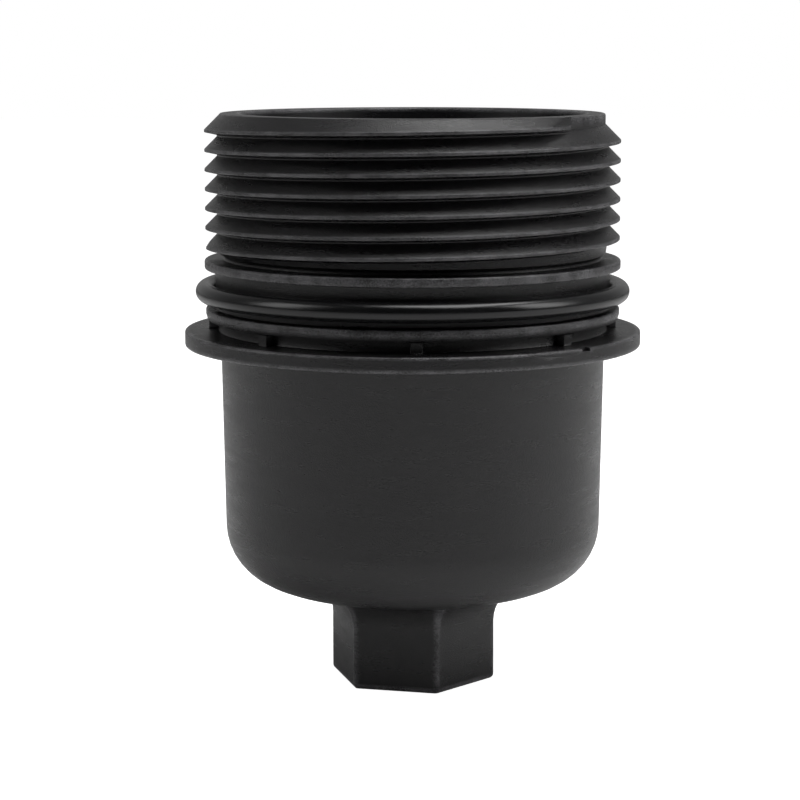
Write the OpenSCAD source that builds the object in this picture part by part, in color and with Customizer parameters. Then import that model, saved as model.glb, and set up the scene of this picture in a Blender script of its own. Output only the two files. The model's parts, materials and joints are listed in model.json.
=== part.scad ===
// Cartridge oil filter: screw-in housing cap with its seal, swivelling support core,
// bypass valve and lift-out pleated element.
// Frame: +Z up through the mouth, origin at the centre of the hexagon's end face.

/* [Wrench hexagon] */
// Width across the flats of the hexagon
wrench_af = 27; // [24:0.5:33]
// Height of the hexagon below the bowl
hex_h = 18.4; // [15:0.1:24]
// Radius of the flare between the hexagon and the bowl
hex_flare_r = 7.2; // [3:0.1:9]
// Turn of the hexagon about the axis, in degrees
hex_turn = -13.3; // [-30:0.1:30]
// Depth of the moulded dish in the hexagon's end
hex_dish_h = 1.2; // [0.6:0.1:2]

/* [Bowl] */
// Outer radius of the bowl under the flange
bowl_r = 35.2; // [33:0.1:43]
// Radius that the bowl loses down to its corner
bowl_draft = 0.7; // [0.2:0.05:1.5]
// Outer radius of the bowl's bottom corner
bowl_corner_r = 11.1; // [8:0.1:14]
// Thickness of the bowl's wall and floor
wall_t = 3.2; // [2.6:0.1:4]

/* [Flange] */
// Height of the flange's seat above the hexagon's end
seat_h = 65.7; // [52:0.1:80]
// Outer radius of the flange
flange_r = 41.8; // [40:0.1:51]
// Thickness of the flange
flange_t = 2.8; // [2:0.1:4]
// Width of the index notch in the flange's edge
notch_w = 2.1; // [1.5:0.1:4]
// Direction of the index notch, in degrees from +X
notch_turn = -44.3; // [-180:0.1:180]

/* [Seal seat] */
// Height of the relief over the flange
relief_h = 2.1; // [2.05:0.05:3]
// Radius of the relief's floor
relief_r = 35.6; // [34.5:0.1:36]
// Number of short ribs in the relief
rib_count = 8; // [4:1:16]
// Width of each rib
rib_w = 2.2; // [1:0.1:4]
// Thickness of the land under the seal
land_t = 2; // [1.4:0.1:3]
// Radius of the land
land_r = 37.9; // [37.5:0.1:39]
// Height of the seal groove
groove_h = 7.2; // [5:0.1:9]
// Radius of the groove's floor
groove_r = 36.1; // [35:0.05:37]
// Thickness of the collar over the groove
collar_t = 1.6; // [1:0.1:3]
// Section diameter of the housing seal
o_ring_d = 3.6; // [3:0.1:4.4]
// Height of the seal's middle over the land
o_ring_lift = 3; // [2.3:0.05:4]

/* [Thread] */
// Radius at the crest
crest_r = 37.85; // [37.2:0.05:38]
// Rise in one turn
pitch = 3.5; // [2.9:0.05:4.2]
// Axial length from the first crest to the last
thread_l = 22.35; // [18:0.05:28]
// Width of the crest
crest_w = 0.45; // [0.3:0.05:0.7]
// Angle of the load flank, which faces the flange
load_angle = 12; // [5:1:20]
// Angle of the back flank, which faces the rim
back_angle = 45; // [35:1:50]
// Direction in which the thread ends at the rim, in degrees from +X
thread_turn = -49.5; // [-180:0.1:180]
// Plain neck between the collar and the first crest
neck_h = 2.12; // [1.5:0.02:4]
// Distance from the last crest to the rim
pilot_h = 1.93; // [1.5:0.01:3]
// Outer radius of the rim
rim_r = 35; // [34:0.05:35.2]
// Radius of the mouth
mouth_r = 31.4; // [29:0.1:32]

/* [Support core] */
// Radius of the core's plain seal lands
core_r = 13; // [11:0.1:15.6]
// Wall of the core
core_wall = 2.2; // [1.8:0.1:3]
// Radius of the foot that turns in the cap
foot_r = 8; // [6.5:0.1:9.6]
// Depth of the foot's socket below the bowl's floor
socket_depth = 13; // [10:0.1:15]
// Height of the bypass ports under the element
port_h = 4.2; // [3:0.1:5.5]
// Radius of the tip that enters the engine's port
tip_r = 9; // [8:0.1:10.8]
// Length of the tip
tip_l = 6; // [5.4:0.1:7.2]
// Radius of the oil outlet through the tip
outlet_r = 5.5; // [4.5:0.1:6.6]
// Section diameter of the tip's seal
tip_ring_d = 2; // [1.6:0.1:2.4]
// Number of window columns round the core
window_columns = 6; // [4:1:8]

/* [Bypass valve] */
// Radius of the opening in the valve seat
valve_hole_r = 5; // [4:0.1:6]
// Radius of the valve head
valve_r = 7.5; // [6.8:0.1:8.4]
// Radius of the valve stem
stem_r = 2.2; // [1.6:0.1:2.7]
// Full lift of the valve
valve_lift = 5; // [3:0.1:6]
// Length of the closed spring
spring_l = 15; // [12:0.1:18]
// Wire diameter of the spring
wire_d = 0.9; // [0.7:0.05:1.1]
// Number of coils
spring_coils = 5; // [4:1:7]

/* [Filter element] */
// Outer radius of the end plates
element_r = 28.6; // [24:0.1:29.6]
// Space between the rim and the element
head_room = 12; // [9:0.1:16]
// Number of pleats
pleat_count = 44; // [32:1:52]
// Thickness of the filter paper
paper_t = 0.55; // [0.4:0.05:0.65]
// Thickness of the end plates
plate_t = 2.2; // [1.6:0.1:3]
// Height of the skirt on each end plate
skirt_h = 3; // [2:0.1:5]
// Thickness of the glue beds
bond_t = 1.2; // [0.8:0.1:2]
// Height of the element's lip seals
lip_seal_h = 4; // [3.2:0.1:5]
// Radial width of the lip seals
lip_seal_w = 3; // [2.4:0.1:3.8]

/* [Clearances] */
// Radial clearance of parts that turn or slide on each other
run_gap = 0.05; // [0.02:0.01:0.1]
// Radial gap of parts that are set into each other
set_gap = 0.03; // [0.01:0.01:0.05]

/* [Hidden] */

cut = 1;                 // how far a cutting solid runs past the surface that it opens
sunk = 0.4;              // how far joined solids run into each other
round_fn = 96;

// Heights, from the hexagon's end upwards
floor_z = hex_h + wall_t;
land_z = seat_h + relief_h;
groove_z = land_z + land_t;
collar_z = groove_z + groove_h;
neck_z = collar_z + collar_t;
first_crest_z = neck_z + neck_h;
last_crest_z = first_crest_z + thread_l;
rim_z = last_crest_z + pilot_h;
flange_z = seat_h - flange_t;
corner_z = hex_h + bowl_corner_r;

// Bowl
bowl_low_r = bowl_r - bowl_draft;
cavity_low_r = min(mouth_r, bowl_low_r - wall_t);
cavity_corner_r = bowl_corner_r - wall_t;
land_chamfer_h = land_t / 2;
land_chamfer_w = 0.5;
rib_r = land_r - land_chamfer_w;
rib_turn = -89;
notch_depth = 0.6;
notch_reach = 1.1;
hex_corner_r = wrench_af / 2 / cos(30);
flare_steps = 6;
flare_reach = 0.97 * hex_flare_r;
flare_z = hex_h - hex_flare_r;
dish_r = wrench_af / 3;

// Thread: the back flank of one turn runs into the load flank of the next
flank_r = crest_r - (pitch - crest_w) / (tan(back_angle) + tan(load_angle));
load_drop = (crest_r - flank_r) * tan(load_angle);
turn_steps = 40;
thread_steps = round(thread_l / pitch * turn_steps);
neck_r = rim_r - 0.6;
rim_lip = 0.05;
sleeve_foot_h = 0.3;
// The collar stands just proud of the thread, so it guides the cap into the housing
collar_r = crest_r + 0.2;

// Support core
foot_gap = 0.1;
core_foot_z = floor_z - socket_depth + foot_gap;
core_floor_z = floor_z + run_gap;
core_base_t = 2.2;
core_base_r = core_r + 1.2;
port_z = core_floor_z + core_base_t;
stop_z = port_z + port_h;
stop_t = 1.6;
stop_r = core_r + lip_seal_w - 0.4;
core_bore_r = core_r - core_wall;
throat_r = core_bore_r - 1;
seat_z = stop_z + stop_t;
element_z = seat_z + 0.1;
seat_t = 2.4;
seat_lip_h = 0.6;
valve_z = seat_z + seat_t + seat_lip_h;
valve_seal_t = 0.9;
head_t = 1.8;
spring_z = valve_z + valve_seal_t + head_t;
cage_z = spring_z + spring_l;
cage_t = 2.4;
stem_shoulder = 0.9;
element_top_z = rim_z - head_room;
core_top_z = element_top_z + 0.8;
tip_foot_w = 1.5;
core_shoulder_h = core_r - tip_r - tip_foot_w;
tip_z = core_top_z + core_shoulder_h;
tip_groove_h = tip_ring_d * 1.2;
tip_groove_r = tip_r - tip_ring_d * 0.75;
tip_groove_z = tip_z + (tip_l - tip_groove_h) / 2;
port_count = 4;
window_bar = 3.4;
cage_band = 2;           // plain wall left above and below the cage
window_low_z = spring_z + 1;
window_low_h = cage_z - cage_band - window_low_z;
window_high_z = cage_z + cage_t + cage_band;
window_high_end = core_top_z - lip_seal_h - 3;
window_rows = 3;
window_row_h = (window_high_end - window_high_z) / window_rows;
window_angle = 360 / window_columns;
window_w = 2 * core_bore_r * sin(window_angle / 2) - window_bar;
lock_ring_t = 1.2;
lock_ring_z = floor_z - socket_depth / 2;
lock_ring_out = 0.8;
lock_ring_play = 0.1;
lock_ring_split = 3;

// Filter element
bond_z = element_z + plate_t;
pleat_z = bond_z + bond_t;
top_plate_z = element_top_z - plate_t;
pleat_top_z = top_plate_z - bond_t;
skirt_t = 0.7;
clip_t = 0.35;
clip_gap = 0.06;
skirt_gap = 0.55;
pleat_r = element_r - skirt_t - clip_t - skirt_gap;
seal_r = core_r + lip_seal_w;
pleat_in_r = seal_r + 0.3;
pleat_half = 180 / pleat_count;
pleat_valley = 0.15;     // half of the gap left between two folds at their foot
pleat_tip = 0.08;        // half width of the hollow inside a fold's crown
bead_count = 3;          // the lower, middle and upper bead share the pleats' height evenly
bead_h = 1.4;
bead_t = 0.5;
bead_gap = 0.05;
clip_foot_r = pleat_in_r + 3.7;
clip_end_gap = 0.3;
seam_turn = 90;

// --- Shared shapes ---------------------------------------------------------------------------

// A solid of revolution from radius and height points
module turned(points) {
    rotate_extrude($fn = round_fn)
        polygon(points);
}

// A plain ring between two radii
module ring(outer_r, inner_r, z, h) {
    translate([0, 0, z])
        difference() {
            cylinder(r = outer_r, h = h, $fn = round_fn);
            translate([0, 0, -cut])
                cylinder(r = inner_r, h = h + 2 * cut, $fn = round_fn);
        }
}

// A seal of round section
module round_seal(middle_r, section_d, z) {
    translate([0, 0, z])
        rotate_extrude($fn = round_fn)
            translate([middle_r, 0])
                circle(d = section_d, $fn = 32);
}

// A quarter arc of points about a centre, from one angle to another
function arc(cx, cy, r, from, to, steps = 8) =
    [for (i = [0:steps]) let (a = from + (to - from) * i / steps) [cx + r * cos(a), cy + r * sin(a)]];

// --- Cap -------------------------------------------------------------------------------------

// The outside below the thread: bowl, flange, relief, land, groove and collar
module cap_outside() {
    turned(concat(
        [[0, hex_h]],
        arc(bowl_low_r - bowl_corner_r, corner_z, bowl_corner_r, -90, 0),
        [
            [bowl_r, flange_z],
            [flange_r, flange_z],
            [flange_r, seat_h],
            [relief_r, seat_h],
            [relief_r, land_z],
            [land_r - land_chamfer_w, land_z],
            [land_r, land_z + land_chamfer_h],
            [land_r, groove_z],
            [groove_r, groove_z],
            [groove_r, collar_z],
            [collar_r, collar_z],
            [collar_r, neck_z],
            [neck_r, neck_z],
            [neck_r, rim_z],
            [0, rim_z]
        ]));
}

// Angle and crest height at one step of the helix, counted from its low end
function step_angle(i) = thread_turn - (thread_steps - i) * 360 / turn_steps;
function step_z(i) = last_crest_z - (thread_steps - i) * pitch / turn_steps;
function at(i, r, z) = [r * cos(step_angle(i)), r * sin(step_angle(i)), z];

// Where the last turn's back flank leaves the crest cylinder: at the pilot's wall or at the rim
function flank_end_z(i) = step_z(i) + crest_w / 2 + (crest_r - rim_r) * tan(back_angle);
function flank_end_r(i) = rim_r + max(0.02, (flank_end_z(i) - rim_z + rim_lip) / tan(back_angle));

// Threaded sleeve: a ridge of buttress section wound up to the rim, closed by an inner wall.
// Three rows follow the helix: the root under the load flank, and the crest's two edges.
// Two rows close the last turn to the rim, and three rings close the sleeve.
module threaded_sleeve() {
    n = turn_steps;
    s = thread_steps;
    low_z = step_z(0) - crest_w / 2 - load_drop - sleeve_foot_h;
    inner_r = (mouth_r + neck_r) / 2;
    helix_rows = [for (i = [0:s]) each [
        at(i, flank_r, step_z(i) - crest_w / 2 - load_drop),
        at(i, crest_r, step_z(i) - crest_w / 2),
        at(i, crest_r, step_z(i) + crest_w / 2)
    ]];
    top_rows = [for (i = [s - n:s]) each [
        at(i, flank_end_r(i), min(flank_end_z(i), rim_z - rim_lip)),
        at(i, flank_end_r(i), rim_z)
    ]];
    rings = [for (j = [0:n - 1]) each [
        at(j, flank_r, low_z),
        at(j, inner_r, low_z),
        at(j, inner_r, rim_z)
    ]];

    // Index of each row's point
    function root(i) = 3 * i;
    function crest_low(i) = 3 * i + 1;
    function crest_high(i) = 3 * i + 2;
    function wall_foot(m) = 3 * (s + 1) + 2 * m;
    function rim(m) = wall_foot(m) + 1;
    function low_ring(j) = 3 * (s + 1) + 2 * (n + 1) + 3 * (j % n);
    function low_inner(j) = low_ring(j) + 1;
    function top_inner(j) = low_ring(j) + 2;

    flanks = [for (i = [0:s - 1]) each [
        [root(i), root(i + 1), crest_low(i + 1)],
        [root(i), crest_low(i + 1), crest_low(i)],
        [crest_low(i), crest_low(i + 1), crest_high(i + 1)],
        [crest_low(i), crest_high(i + 1), crest_high(i)]
    ]];
    backs = [for (i = [0:s - n - 1]) each [
        [crest_high(i), crest_high(i + 1), root(i + 1 + n)],
        [crest_high(i), root(i + 1 + n), root(i + n)]
    ]];
    first_back = [
        [crest_high(s - n), crest_high(s - n + 1), root(s)],
        [root(s), crest_high(s - n + 1), wall_foot(1)],
        [root(s), wall_foot(1), wall_foot(0)]
    ];
    last_backs = [for (m = [1:n - 1]) let (i = s - n + m) each [
        [crest_high(i), crest_high(i + 1), wall_foot(m + 1)],
        [crest_high(i), wall_foot(m + 1), wall_foot(m)]
    ]];
    pilot = [for (m = [0:n - 1]) each [
        [wall_foot(m), wall_foot(m + 1), rim(m + 1)],
        [wall_foot(m), rim(m + 1), rim(m)]
    ]];
    rim_face = [for (m = [0:n - 2]) let (j = s - n + m)
        [rim(m), rim(m + 1), top_inner(j + 1), top_inner(j)]];
    rim_close = [[rim(n - 1), rim(n), rim(0), top_inner(s), top_inner(s - 1)]];
    thread_end = [[root(s), wall_foot(0), rim(0), rim(n), wall_foot(n), crest_high(s), crest_low(s)]];
    thread_start = [[root(0), crest_low(0), crest_high(0), root(n)]];
    root_wall = [for (i = [0:n - 2]) [low_ring(i), low_ring(i + 1), root(i + 1), root(i)]];
    root_close = [[low_ring(n - 1), low_ring(0), root(0), root(n), root(n - 1)]];
    low_face = [for (j = [0:n - 1]) [low_ring(j + 1), low_ring(j), low_inner(j), low_inner(j + 1)]];
    inner_face = [for (j = [0:n - 1]) [low_inner(j + 1), low_inner(j), top_inner(j), top_inner(j + 1)]];

    outward = concat(flanks, backs, first_back, last_backs, pilot, rim_face, rim_close,
        thread_end, thread_start, root_wall, root_close, low_face, inner_face);
    polyhedron(
        points = concat(helix_rows, top_rows, rings),
        faces = [for (f = outward) [for (k = [len(f) - 1:-1:0]) f[k]]],
        convexity = 10);
}

// Corner of the flared hexagon at one height step
function flare_out(i) = hex_flare_r * (1 - cos(90 * i / flare_steps));
function flare_height(i) = flare_z + hex_flare_r * sin(90 * i / flare_steps);
function flare_ring(i) =
    let (r = (wrench_af / 2 + min(flare_out(i), flare_reach)) / cos(30))
    [for (k = [0:5]) [r * cos(60 * k), r * sin(60 * k), flare_height(i)]];

// The wrench hexagon with its flare into the bowl
module hexagon() {
    rotate([0, 0, hex_turn]) {
        cylinder(r = hex_corner_r, h = hex_h + sunk, $fn = 6);
        polyhedron(
            points = [for (i = [0:flare_steps]) each flare_ring(i)],
            faces = concat(
                [[for (k = [0:5]) k]],
                [for (i = [0:flare_steps - 1], k = [0:5])
                    [6 * i + k, 6 * i + 6 + k, 6 * i + 6 + (k + 1) % 6, 6 * i + (k + 1) % 6]],
                [[for (k = [5:-1:0]) 6 * flare_steps + k]]));
    }
}

// The space inside: mouth, bowl, foot socket and the lock ring's groove
module cap_inside() {
    turned(concat(
        [[0, floor_z]],
        arc(cavity_low_r - cavity_corner_r, floor_z + cavity_corner_r, cavity_corner_r, -90, 0),
        [
            [mouth_r, flange_z],
            [mouth_r, rim_z + cut],
            [0, rim_z + cut]
        ]));
    translate([0, 0, floor_z - socket_depth])
        cylinder(r = foot_r + run_gap, h = socket_depth + sunk, $fn = round_fn);
    translate([0, 0, lock_ring_z - run_gap])
        cylinder(r = foot_r + lock_ring_out + run_gap, h = lock_ring_t + 2 * run_gap, $fn = round_fn);
}

module cap_body() {
    color("#2b2a2c")
        difference() {
            union() {
                cap_outside();
                threaded_sleeve();
                hexagon();
                for (k = [0:rib_count - 1])
                    rotate([0, 0, k * 360 / rib_count + rib_turn])
                        translate([relief_r - sunk, -rib_w / 2, seat_h - sunk])
                            cube([rib_r - relief_r + sunk, rib_w, relief_h + 2 * sunk]);
            }
            cap_inside();
            translate([0, 0, -cut])
                cylinder(r = dish_r, h = hex_dish_h + cut, $fn = round_fn);
            rotate([0, 0, notch_turn])
                translate([flange_r - notch_reach, -notch_w / 2, seat_h - notch_depth])
                    cube([notch_reach + cut, notch_w, notch_depth + cut]);
        }
}

module cap_o_ring() {
    color("#0d0d0e")
        round_seal(groove_r + run_gap + o_ring_d / 2, o_ring_d, groove_z + o_ring_lift);
}

// --- Support core and bypass valve -----------------------------------------------------------

module core_solid() {
    turned([
        [0, core_foot_z],
        [foot_r - 1, core_foot_z],
        [foot_r, core_foot_z + 1],
        [foot_r, core_floor_z],
        [core_base_r, core_floor_z],
        [core_base_r, port_z],
        [core_r, port_z],
        [core_r, stop_z],
        [stop_r, stop_z],
        [stop_r, seat_z],
        [core_r, seat_z],
        [core_r, core_top_z],
        [tip_r + tip_foot_w, tip_z],
        [tip_r, tip_z],
        [tip_r, tip_groove_z],
        [tip_groove_r, tip_groove_z],
        [tip_groove_r, tip_groove_z + tip_groove_h],
        [tip_r, tip_groove_z + tip_groove_h],
        [tip_r, tip_z + tip_l - 0.8],
        [tip_r - 0.8, tip_z + tip_l],
        [0, tip_z + tip_l]
    ]);
}

module core_passage() {
    turned([
        [0, port_z],
        [throat_r, port_z],
        [throat_r, seat_z],
        [core_bore_r, seat_z],
        [core_bore_r, core_top_z - core_wall],
        [outlet_r, tip_z],
        [outlet_r, tip_z + tip_l + cut],
        [0, tip_z + tip_l + cut]
    ]);
}

// One ring of windows through the core's wall
module core_windows(z, h, count, width) {
    for (k = [0:count - 1])
        rotate([0, 0, k * 360 / count])
            translate([throat_r / 2, -width / 2, z])
                cube([core_r, width, h]);
}

module support_core() {
    color("#3a3b3d")
        difference() {
            core_solid();
            core_passage();
            core_windows(port_z, port_h, port_count, throat_r);
            core_windows(window_low_z, window_low_h, window_columns, window_w);
            for (row = [0:window_rows - 1])
                core_windows(window_high_z + row * window_row_h, window_row_h - window_bar,
                    window_columns, window_w);
            ring(foot_r + cut, foot_r - lock_ring_out, lock_ring_z, lock_ring_t);
        }
}

// Spring steel ring that locks the foot in the cap's socket
module core_lock_ring() {
    color("#a9abae")
        difference() {
            ring(foot_r + lock_ring_out - lock_ring_play, foot_r - lock_ring_out + set_gap,
                lock_ring_z + lock_ring_play, lock_ring_t - 2 * lock_ring_play);
            translate([0, -lock_ring_split / 2, lock_ring_z - cut])
                cube([foot_r + lock_ring_out + cut, lock_ring_split, lock_ring_t + 2 * cut]);
        }
}

module tip_o_ring() {
    color("#111112")
        round_seal(tip_groove_r + set_gap + tip_ring_d / 2, tip_ring_d, tip_groove_z + tip_groove_h / 2);
}

module bypass_seat() {
    color("#c2a257")
        turned([
            [valve_hole_r, seat_z],
            [core_bore_r - set_gap, seat_z],
            [core_bore_r - set_gap, seat_z + seat_t],
            [valve_hole_r + 1.4, seat_z + seat_t],
            [valve_hole_r + 1, seat_z + seat_t + seat_lip_h],
            [valve_hole_r + 0.4, seat_z + seat_t + seat_lip_h],
            [valve_hole_r, seat_z + seat_t]
        ]);
}

// Spider that holds the spring down and guides the stem
module bypass_cage() {
    rim_w = 1.6;
    hub_w = 2.4;
    spoke_w = 2;
    spoke_in_r = stem_r + hub_w - 0.9;
    spoke_out_r = core_bore_r - rim_w + 0.6;
    color("#d8d4c8")
        union() {
            ring(core_bore_r - set_gap, core_bore_r - rim_w, cage_z, cage_t);
            ring(stem_r + hub_w, stem_r + run_gap, cage_z, cage_t);
            for (k = [0:2])
                rotate([0, 0, k * 120])
                    translate([spoke_in_r, -spoke_w / 2, cage_z])
                        cube([spoke_out_r - spoke_in_r, spoke_w, cage_t]);
        }
}

// Points of one wire ring at a step of the coil
function wire_ring(i, steps, mean_r, low_z, rise) =
    let (a = 360 * spring_coils * i / steps, z = low_z + rise * i / steps)
    [for (k = [0:7]) let (s = 45 * k, r = mean_r + wire_d / 2 * cos(s))
        [r * cos(a), r * sin(a), z + wire_d / 2 * sin(s)]];

module bypass_spring() {
    end_gap = 0.05;
    steps_per_coil = 16;
    mean_r = (stem_r + valve_r) / 2 + 0.3;
    low_z = spring_z + wire_d / 2 + end_gap;
    rise = spring_l - wire_d - 2 * end_gap;
    steps = spring_coils * steps_per_coil;
    last = 8 * steps;
    color("#b9bcc0")
        polyhedron(
            points = [for (i = [0:steps]) each wire_ring(i, steps, mean_r, low_z, rise)],
            faces = concat(
                [[for (k = [0:7]) k]],
                [for (i = [0:steps - 1], k = [0:7])
                    let (a = 8 * i + k, b = 8 * i + (k + 1) % 8)
                    each [[a, a + 8, b + 8], [a, b + 8, b]]],
                [[for (k = [7:-1:0]) last + k]]),
            convexity = 10);
}

// Valve head and stem; the stem's shoulder meets the cage at full lift
module bypass_poppet() {
    stem_top_z = cage_z + cage_t + 1;
    stop_gap = 0.1;
    tip_bevel = 0.6;
    shoulder_z = cage_z - valve_lift - stop_gap;
    color("#e3e0d5")
        turned([
            [0, valve_z + valve_seal_t],
            [valve_r, valve_z + valve_seal_t],
            [valve_r, valve_z + valve_seal_t + head_t],
            [stem_r + stem_shoulder, valve_z + valve_seal_t + head_t],
            [stem_r + stem_shoulder, shoulder_z],
            [stem_r, shoulder_z],
            [stem_r, stem_top_z - tip_bevel],
            [stem_r - tip_bevel, stem_top_z],
            [0, stem_top_z]
        ]);
}

module poppet_seal() {
    seal_inset = 0.2;
    seal_hole_r = 1.5;
    color("#161617")
        ring(valve_r - seal_inset, seal_hole_r, valve_z, valve_seal_t);
}

// --- Filter element --------------------------------------------------------------------------

// A point of the pleat outline from its radius and its arc length off the fold's middle line
function pleat_point(r, arc_l, middle) =
    let (a = middle + arc_l / r * 180 / PI) [r * cos(a), r * sin(a)];

// Half a fold at the outer and inner ends of the paper, for its outer and inner faces
function pleat_outline(out_r, in_r, peak, gap) =
    [for (k = [0:pleat_count - 1])
        let (a = seam_turn + 2 * pleat_half * k, b = a + pleat_half)
        each [
            pleat_point(out_r, -peak, a),
            pleat_point(out_r, peak, a),
            pleat_point(in_r, -gap, b),
            pleat_point(in_r, gap, b)
        ]];

module pleat_pack() {
    color("#d9bd7c")
        translate([0, 0, pleat_z])
            linear_extrude(pleat_top_z - pleat_z)
                difference() {
                    polygon(pleat_outline(pleat_r, pleat_in_r + paper_t, paper_t, pleat_valley));
                    polygon(pleat_outline(pleat_r - paper_t, pleat_in_r, pleat_tip, paper_t + pleat_valley - pleat_tip));
                }
}

// Outline of the seam's fold from a foot to its crown, grown sideways and past the crown
module fold_outline(foot_x, grown) {
    crown = pleat_point(pleat_r, paper_t, 0);
    valley = pleat_point(pleat_in_r + paper_t, -pleat_valley, pleat_half);
    slope = (valley[1] - crown[1]) / (crown[0] - valley[0]);
    foot_y = crown[1] + slope * (crown[0] - foot_x) + grown;
    top_x = pleat_r + grown;
    top_y = crown[1] + grown;
    polygon([[foot_x, -foot_y], [top_x, -top_y], [top_x, top_y], [foot_x, foot_y]]);
}

// Folded strip over the pleat where the paper's two ends meet
module seam_clip() {
    color("#b4b7ba")
        translate([0, 0, pleat_z + clip_end_gap])
            rotate([0, 0, seam_turn])
                linear_extrude(pleat_top_z - pleat_z - 2 * clip_end_gap)
                    difference() {
                        fold_outline(clip_foot_r, clip_gap + clip_t);
                        fold_outline(clip_foot_r - cut, clip_gap);
                    }
}

// End plate with a skirt round the pleats; the sign gives the side that the skirt stands on
module end_plate(z, skirt_side) {
    skirt_low_z = skirt_side > 0 ? z + plate_t - sunk : z - skirt_h;
    ring(element_r, seal_r + set_gap, z, plate_t);
    ring(element_r, element_r - skirt_t, skirt_low_z, skirt_h + sunk);
}

module top_end_plate() {
    color("#2f3a44")
        union()
            end_plate(top_plate_z, -1);
}

module bottom_end_plate() {
    color("#2f3a44")
        union()
            end_plate(element_z, 1);
}

module glue_bed(z) {
    ring(element_r - skirt_t - set_gap, seal_r + set_gap, z, bond_t);
}

module top_glue_bed() {
    color("#c9c2ae")
        glue_bed(pleat_top_z);
}

module bottom_glue_bed() {
    color("#c9c2ae")
        glue_bed(bond_z);
}

// Lip seal that slides on the core
module lip_seal(z) {
    lip = 0.6;
    turned([
        [core_r + run_gap + lip, z],
        [seal_r, z],
        [seal_r, z + lip_seal_h],
        [core_r + run_gap + lip, z + lip_seal_h],
        [core_r + run_gap, z + lip_seal_h - lip],
        [core_r + run_gap, z + lip]
    ]);
}

module top_lip_seal() {
    color("#18191b")
        lip_seal(element_top_z - lip_seal_h);
}

module bottom_lip_seal() {
    color("#18191b")
        lip_seal(element_z);
}

// Bead of hot glue that keeps the folds apart, open at the seam clip
module spacer_bead(k) {
    z = pleat_z + (pleat_top_z - pleat_z) * (k + 1) / (bead_count + 1) - bead_h / 2;
    color("#e8e4d6")
        difference() {
            ring(pleat_r + bead_gap + bead_t, pleat_r + bead_gap, z, bead_h);
            rotate([0, 0, seam_turn])
                translate([0, -paper_t - 2 * clip_t, z - cut])
                    cube([element_r, 2 * paper_t + 4 * clip_t, bead_h + 2 * cut]);
        }
}

cap_body();
cap_o_ring();
support_core();
core_lock_ring();
tip_o_ring();
bypass_seat();
bypass_cage();
bypass_spring();
bypass_poppet();
poppet_seal();
pleat_pack();
seam_clip();
top_end_plate();
bottom_end_plate();
top_glue_bed();
bottom_glue_bed();
top_lip_seal();
bottom_lip_seal();
spacer_bead(0);  // lower_spacer_bead
spacer_bead(1);  // middle_spacer_bead
spacer_bead(2);  // upper_spacer_bead
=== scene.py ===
"""Looks of a cartridge oil filter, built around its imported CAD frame.

The pieces are a screw-in housing cap with its seal, a support core with the bypass valve, and a
lift-out pleated element. Sizes are millimetres in the frame's own axes, with +Z through the mouth,
and each mesh is scaled to metres when it is made.
"""

import json
import logging
import math
from collections.abc import Sequence
from dataclasses import dataclass, field
from enum import Enum
from typing import Any

import bmesh
import bpy
import numpy as np
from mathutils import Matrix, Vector

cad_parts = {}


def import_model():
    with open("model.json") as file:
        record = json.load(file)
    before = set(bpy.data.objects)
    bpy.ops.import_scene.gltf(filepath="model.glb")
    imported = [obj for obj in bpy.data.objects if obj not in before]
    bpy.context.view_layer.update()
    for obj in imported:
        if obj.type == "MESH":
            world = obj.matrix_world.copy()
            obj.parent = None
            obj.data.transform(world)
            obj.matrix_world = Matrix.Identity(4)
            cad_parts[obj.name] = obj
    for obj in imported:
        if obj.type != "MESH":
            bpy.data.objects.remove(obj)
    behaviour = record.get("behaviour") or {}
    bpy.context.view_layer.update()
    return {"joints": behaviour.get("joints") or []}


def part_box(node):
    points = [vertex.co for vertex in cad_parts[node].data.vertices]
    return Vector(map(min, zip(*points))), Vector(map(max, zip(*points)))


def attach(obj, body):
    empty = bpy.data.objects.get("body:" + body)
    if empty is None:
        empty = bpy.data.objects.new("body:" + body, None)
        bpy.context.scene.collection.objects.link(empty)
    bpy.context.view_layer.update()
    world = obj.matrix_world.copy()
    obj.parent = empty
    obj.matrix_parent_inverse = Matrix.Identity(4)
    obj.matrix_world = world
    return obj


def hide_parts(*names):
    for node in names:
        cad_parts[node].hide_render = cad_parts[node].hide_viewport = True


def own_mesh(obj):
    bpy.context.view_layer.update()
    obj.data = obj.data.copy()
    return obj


LOG = logging.getLogger("oil_filter")
MM = 0.001
WELD_MM = 0.002
COLUMNS = 240


# --- Outlines and meshes ---------------------------------------------------------------------


@dataclass(frozen=True)
class Corner:
    """A corner of an outline: radius and height in mm, and the fillet that rounds it."""

    r: float
    z: float
    fillet: float = 0.0


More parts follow.
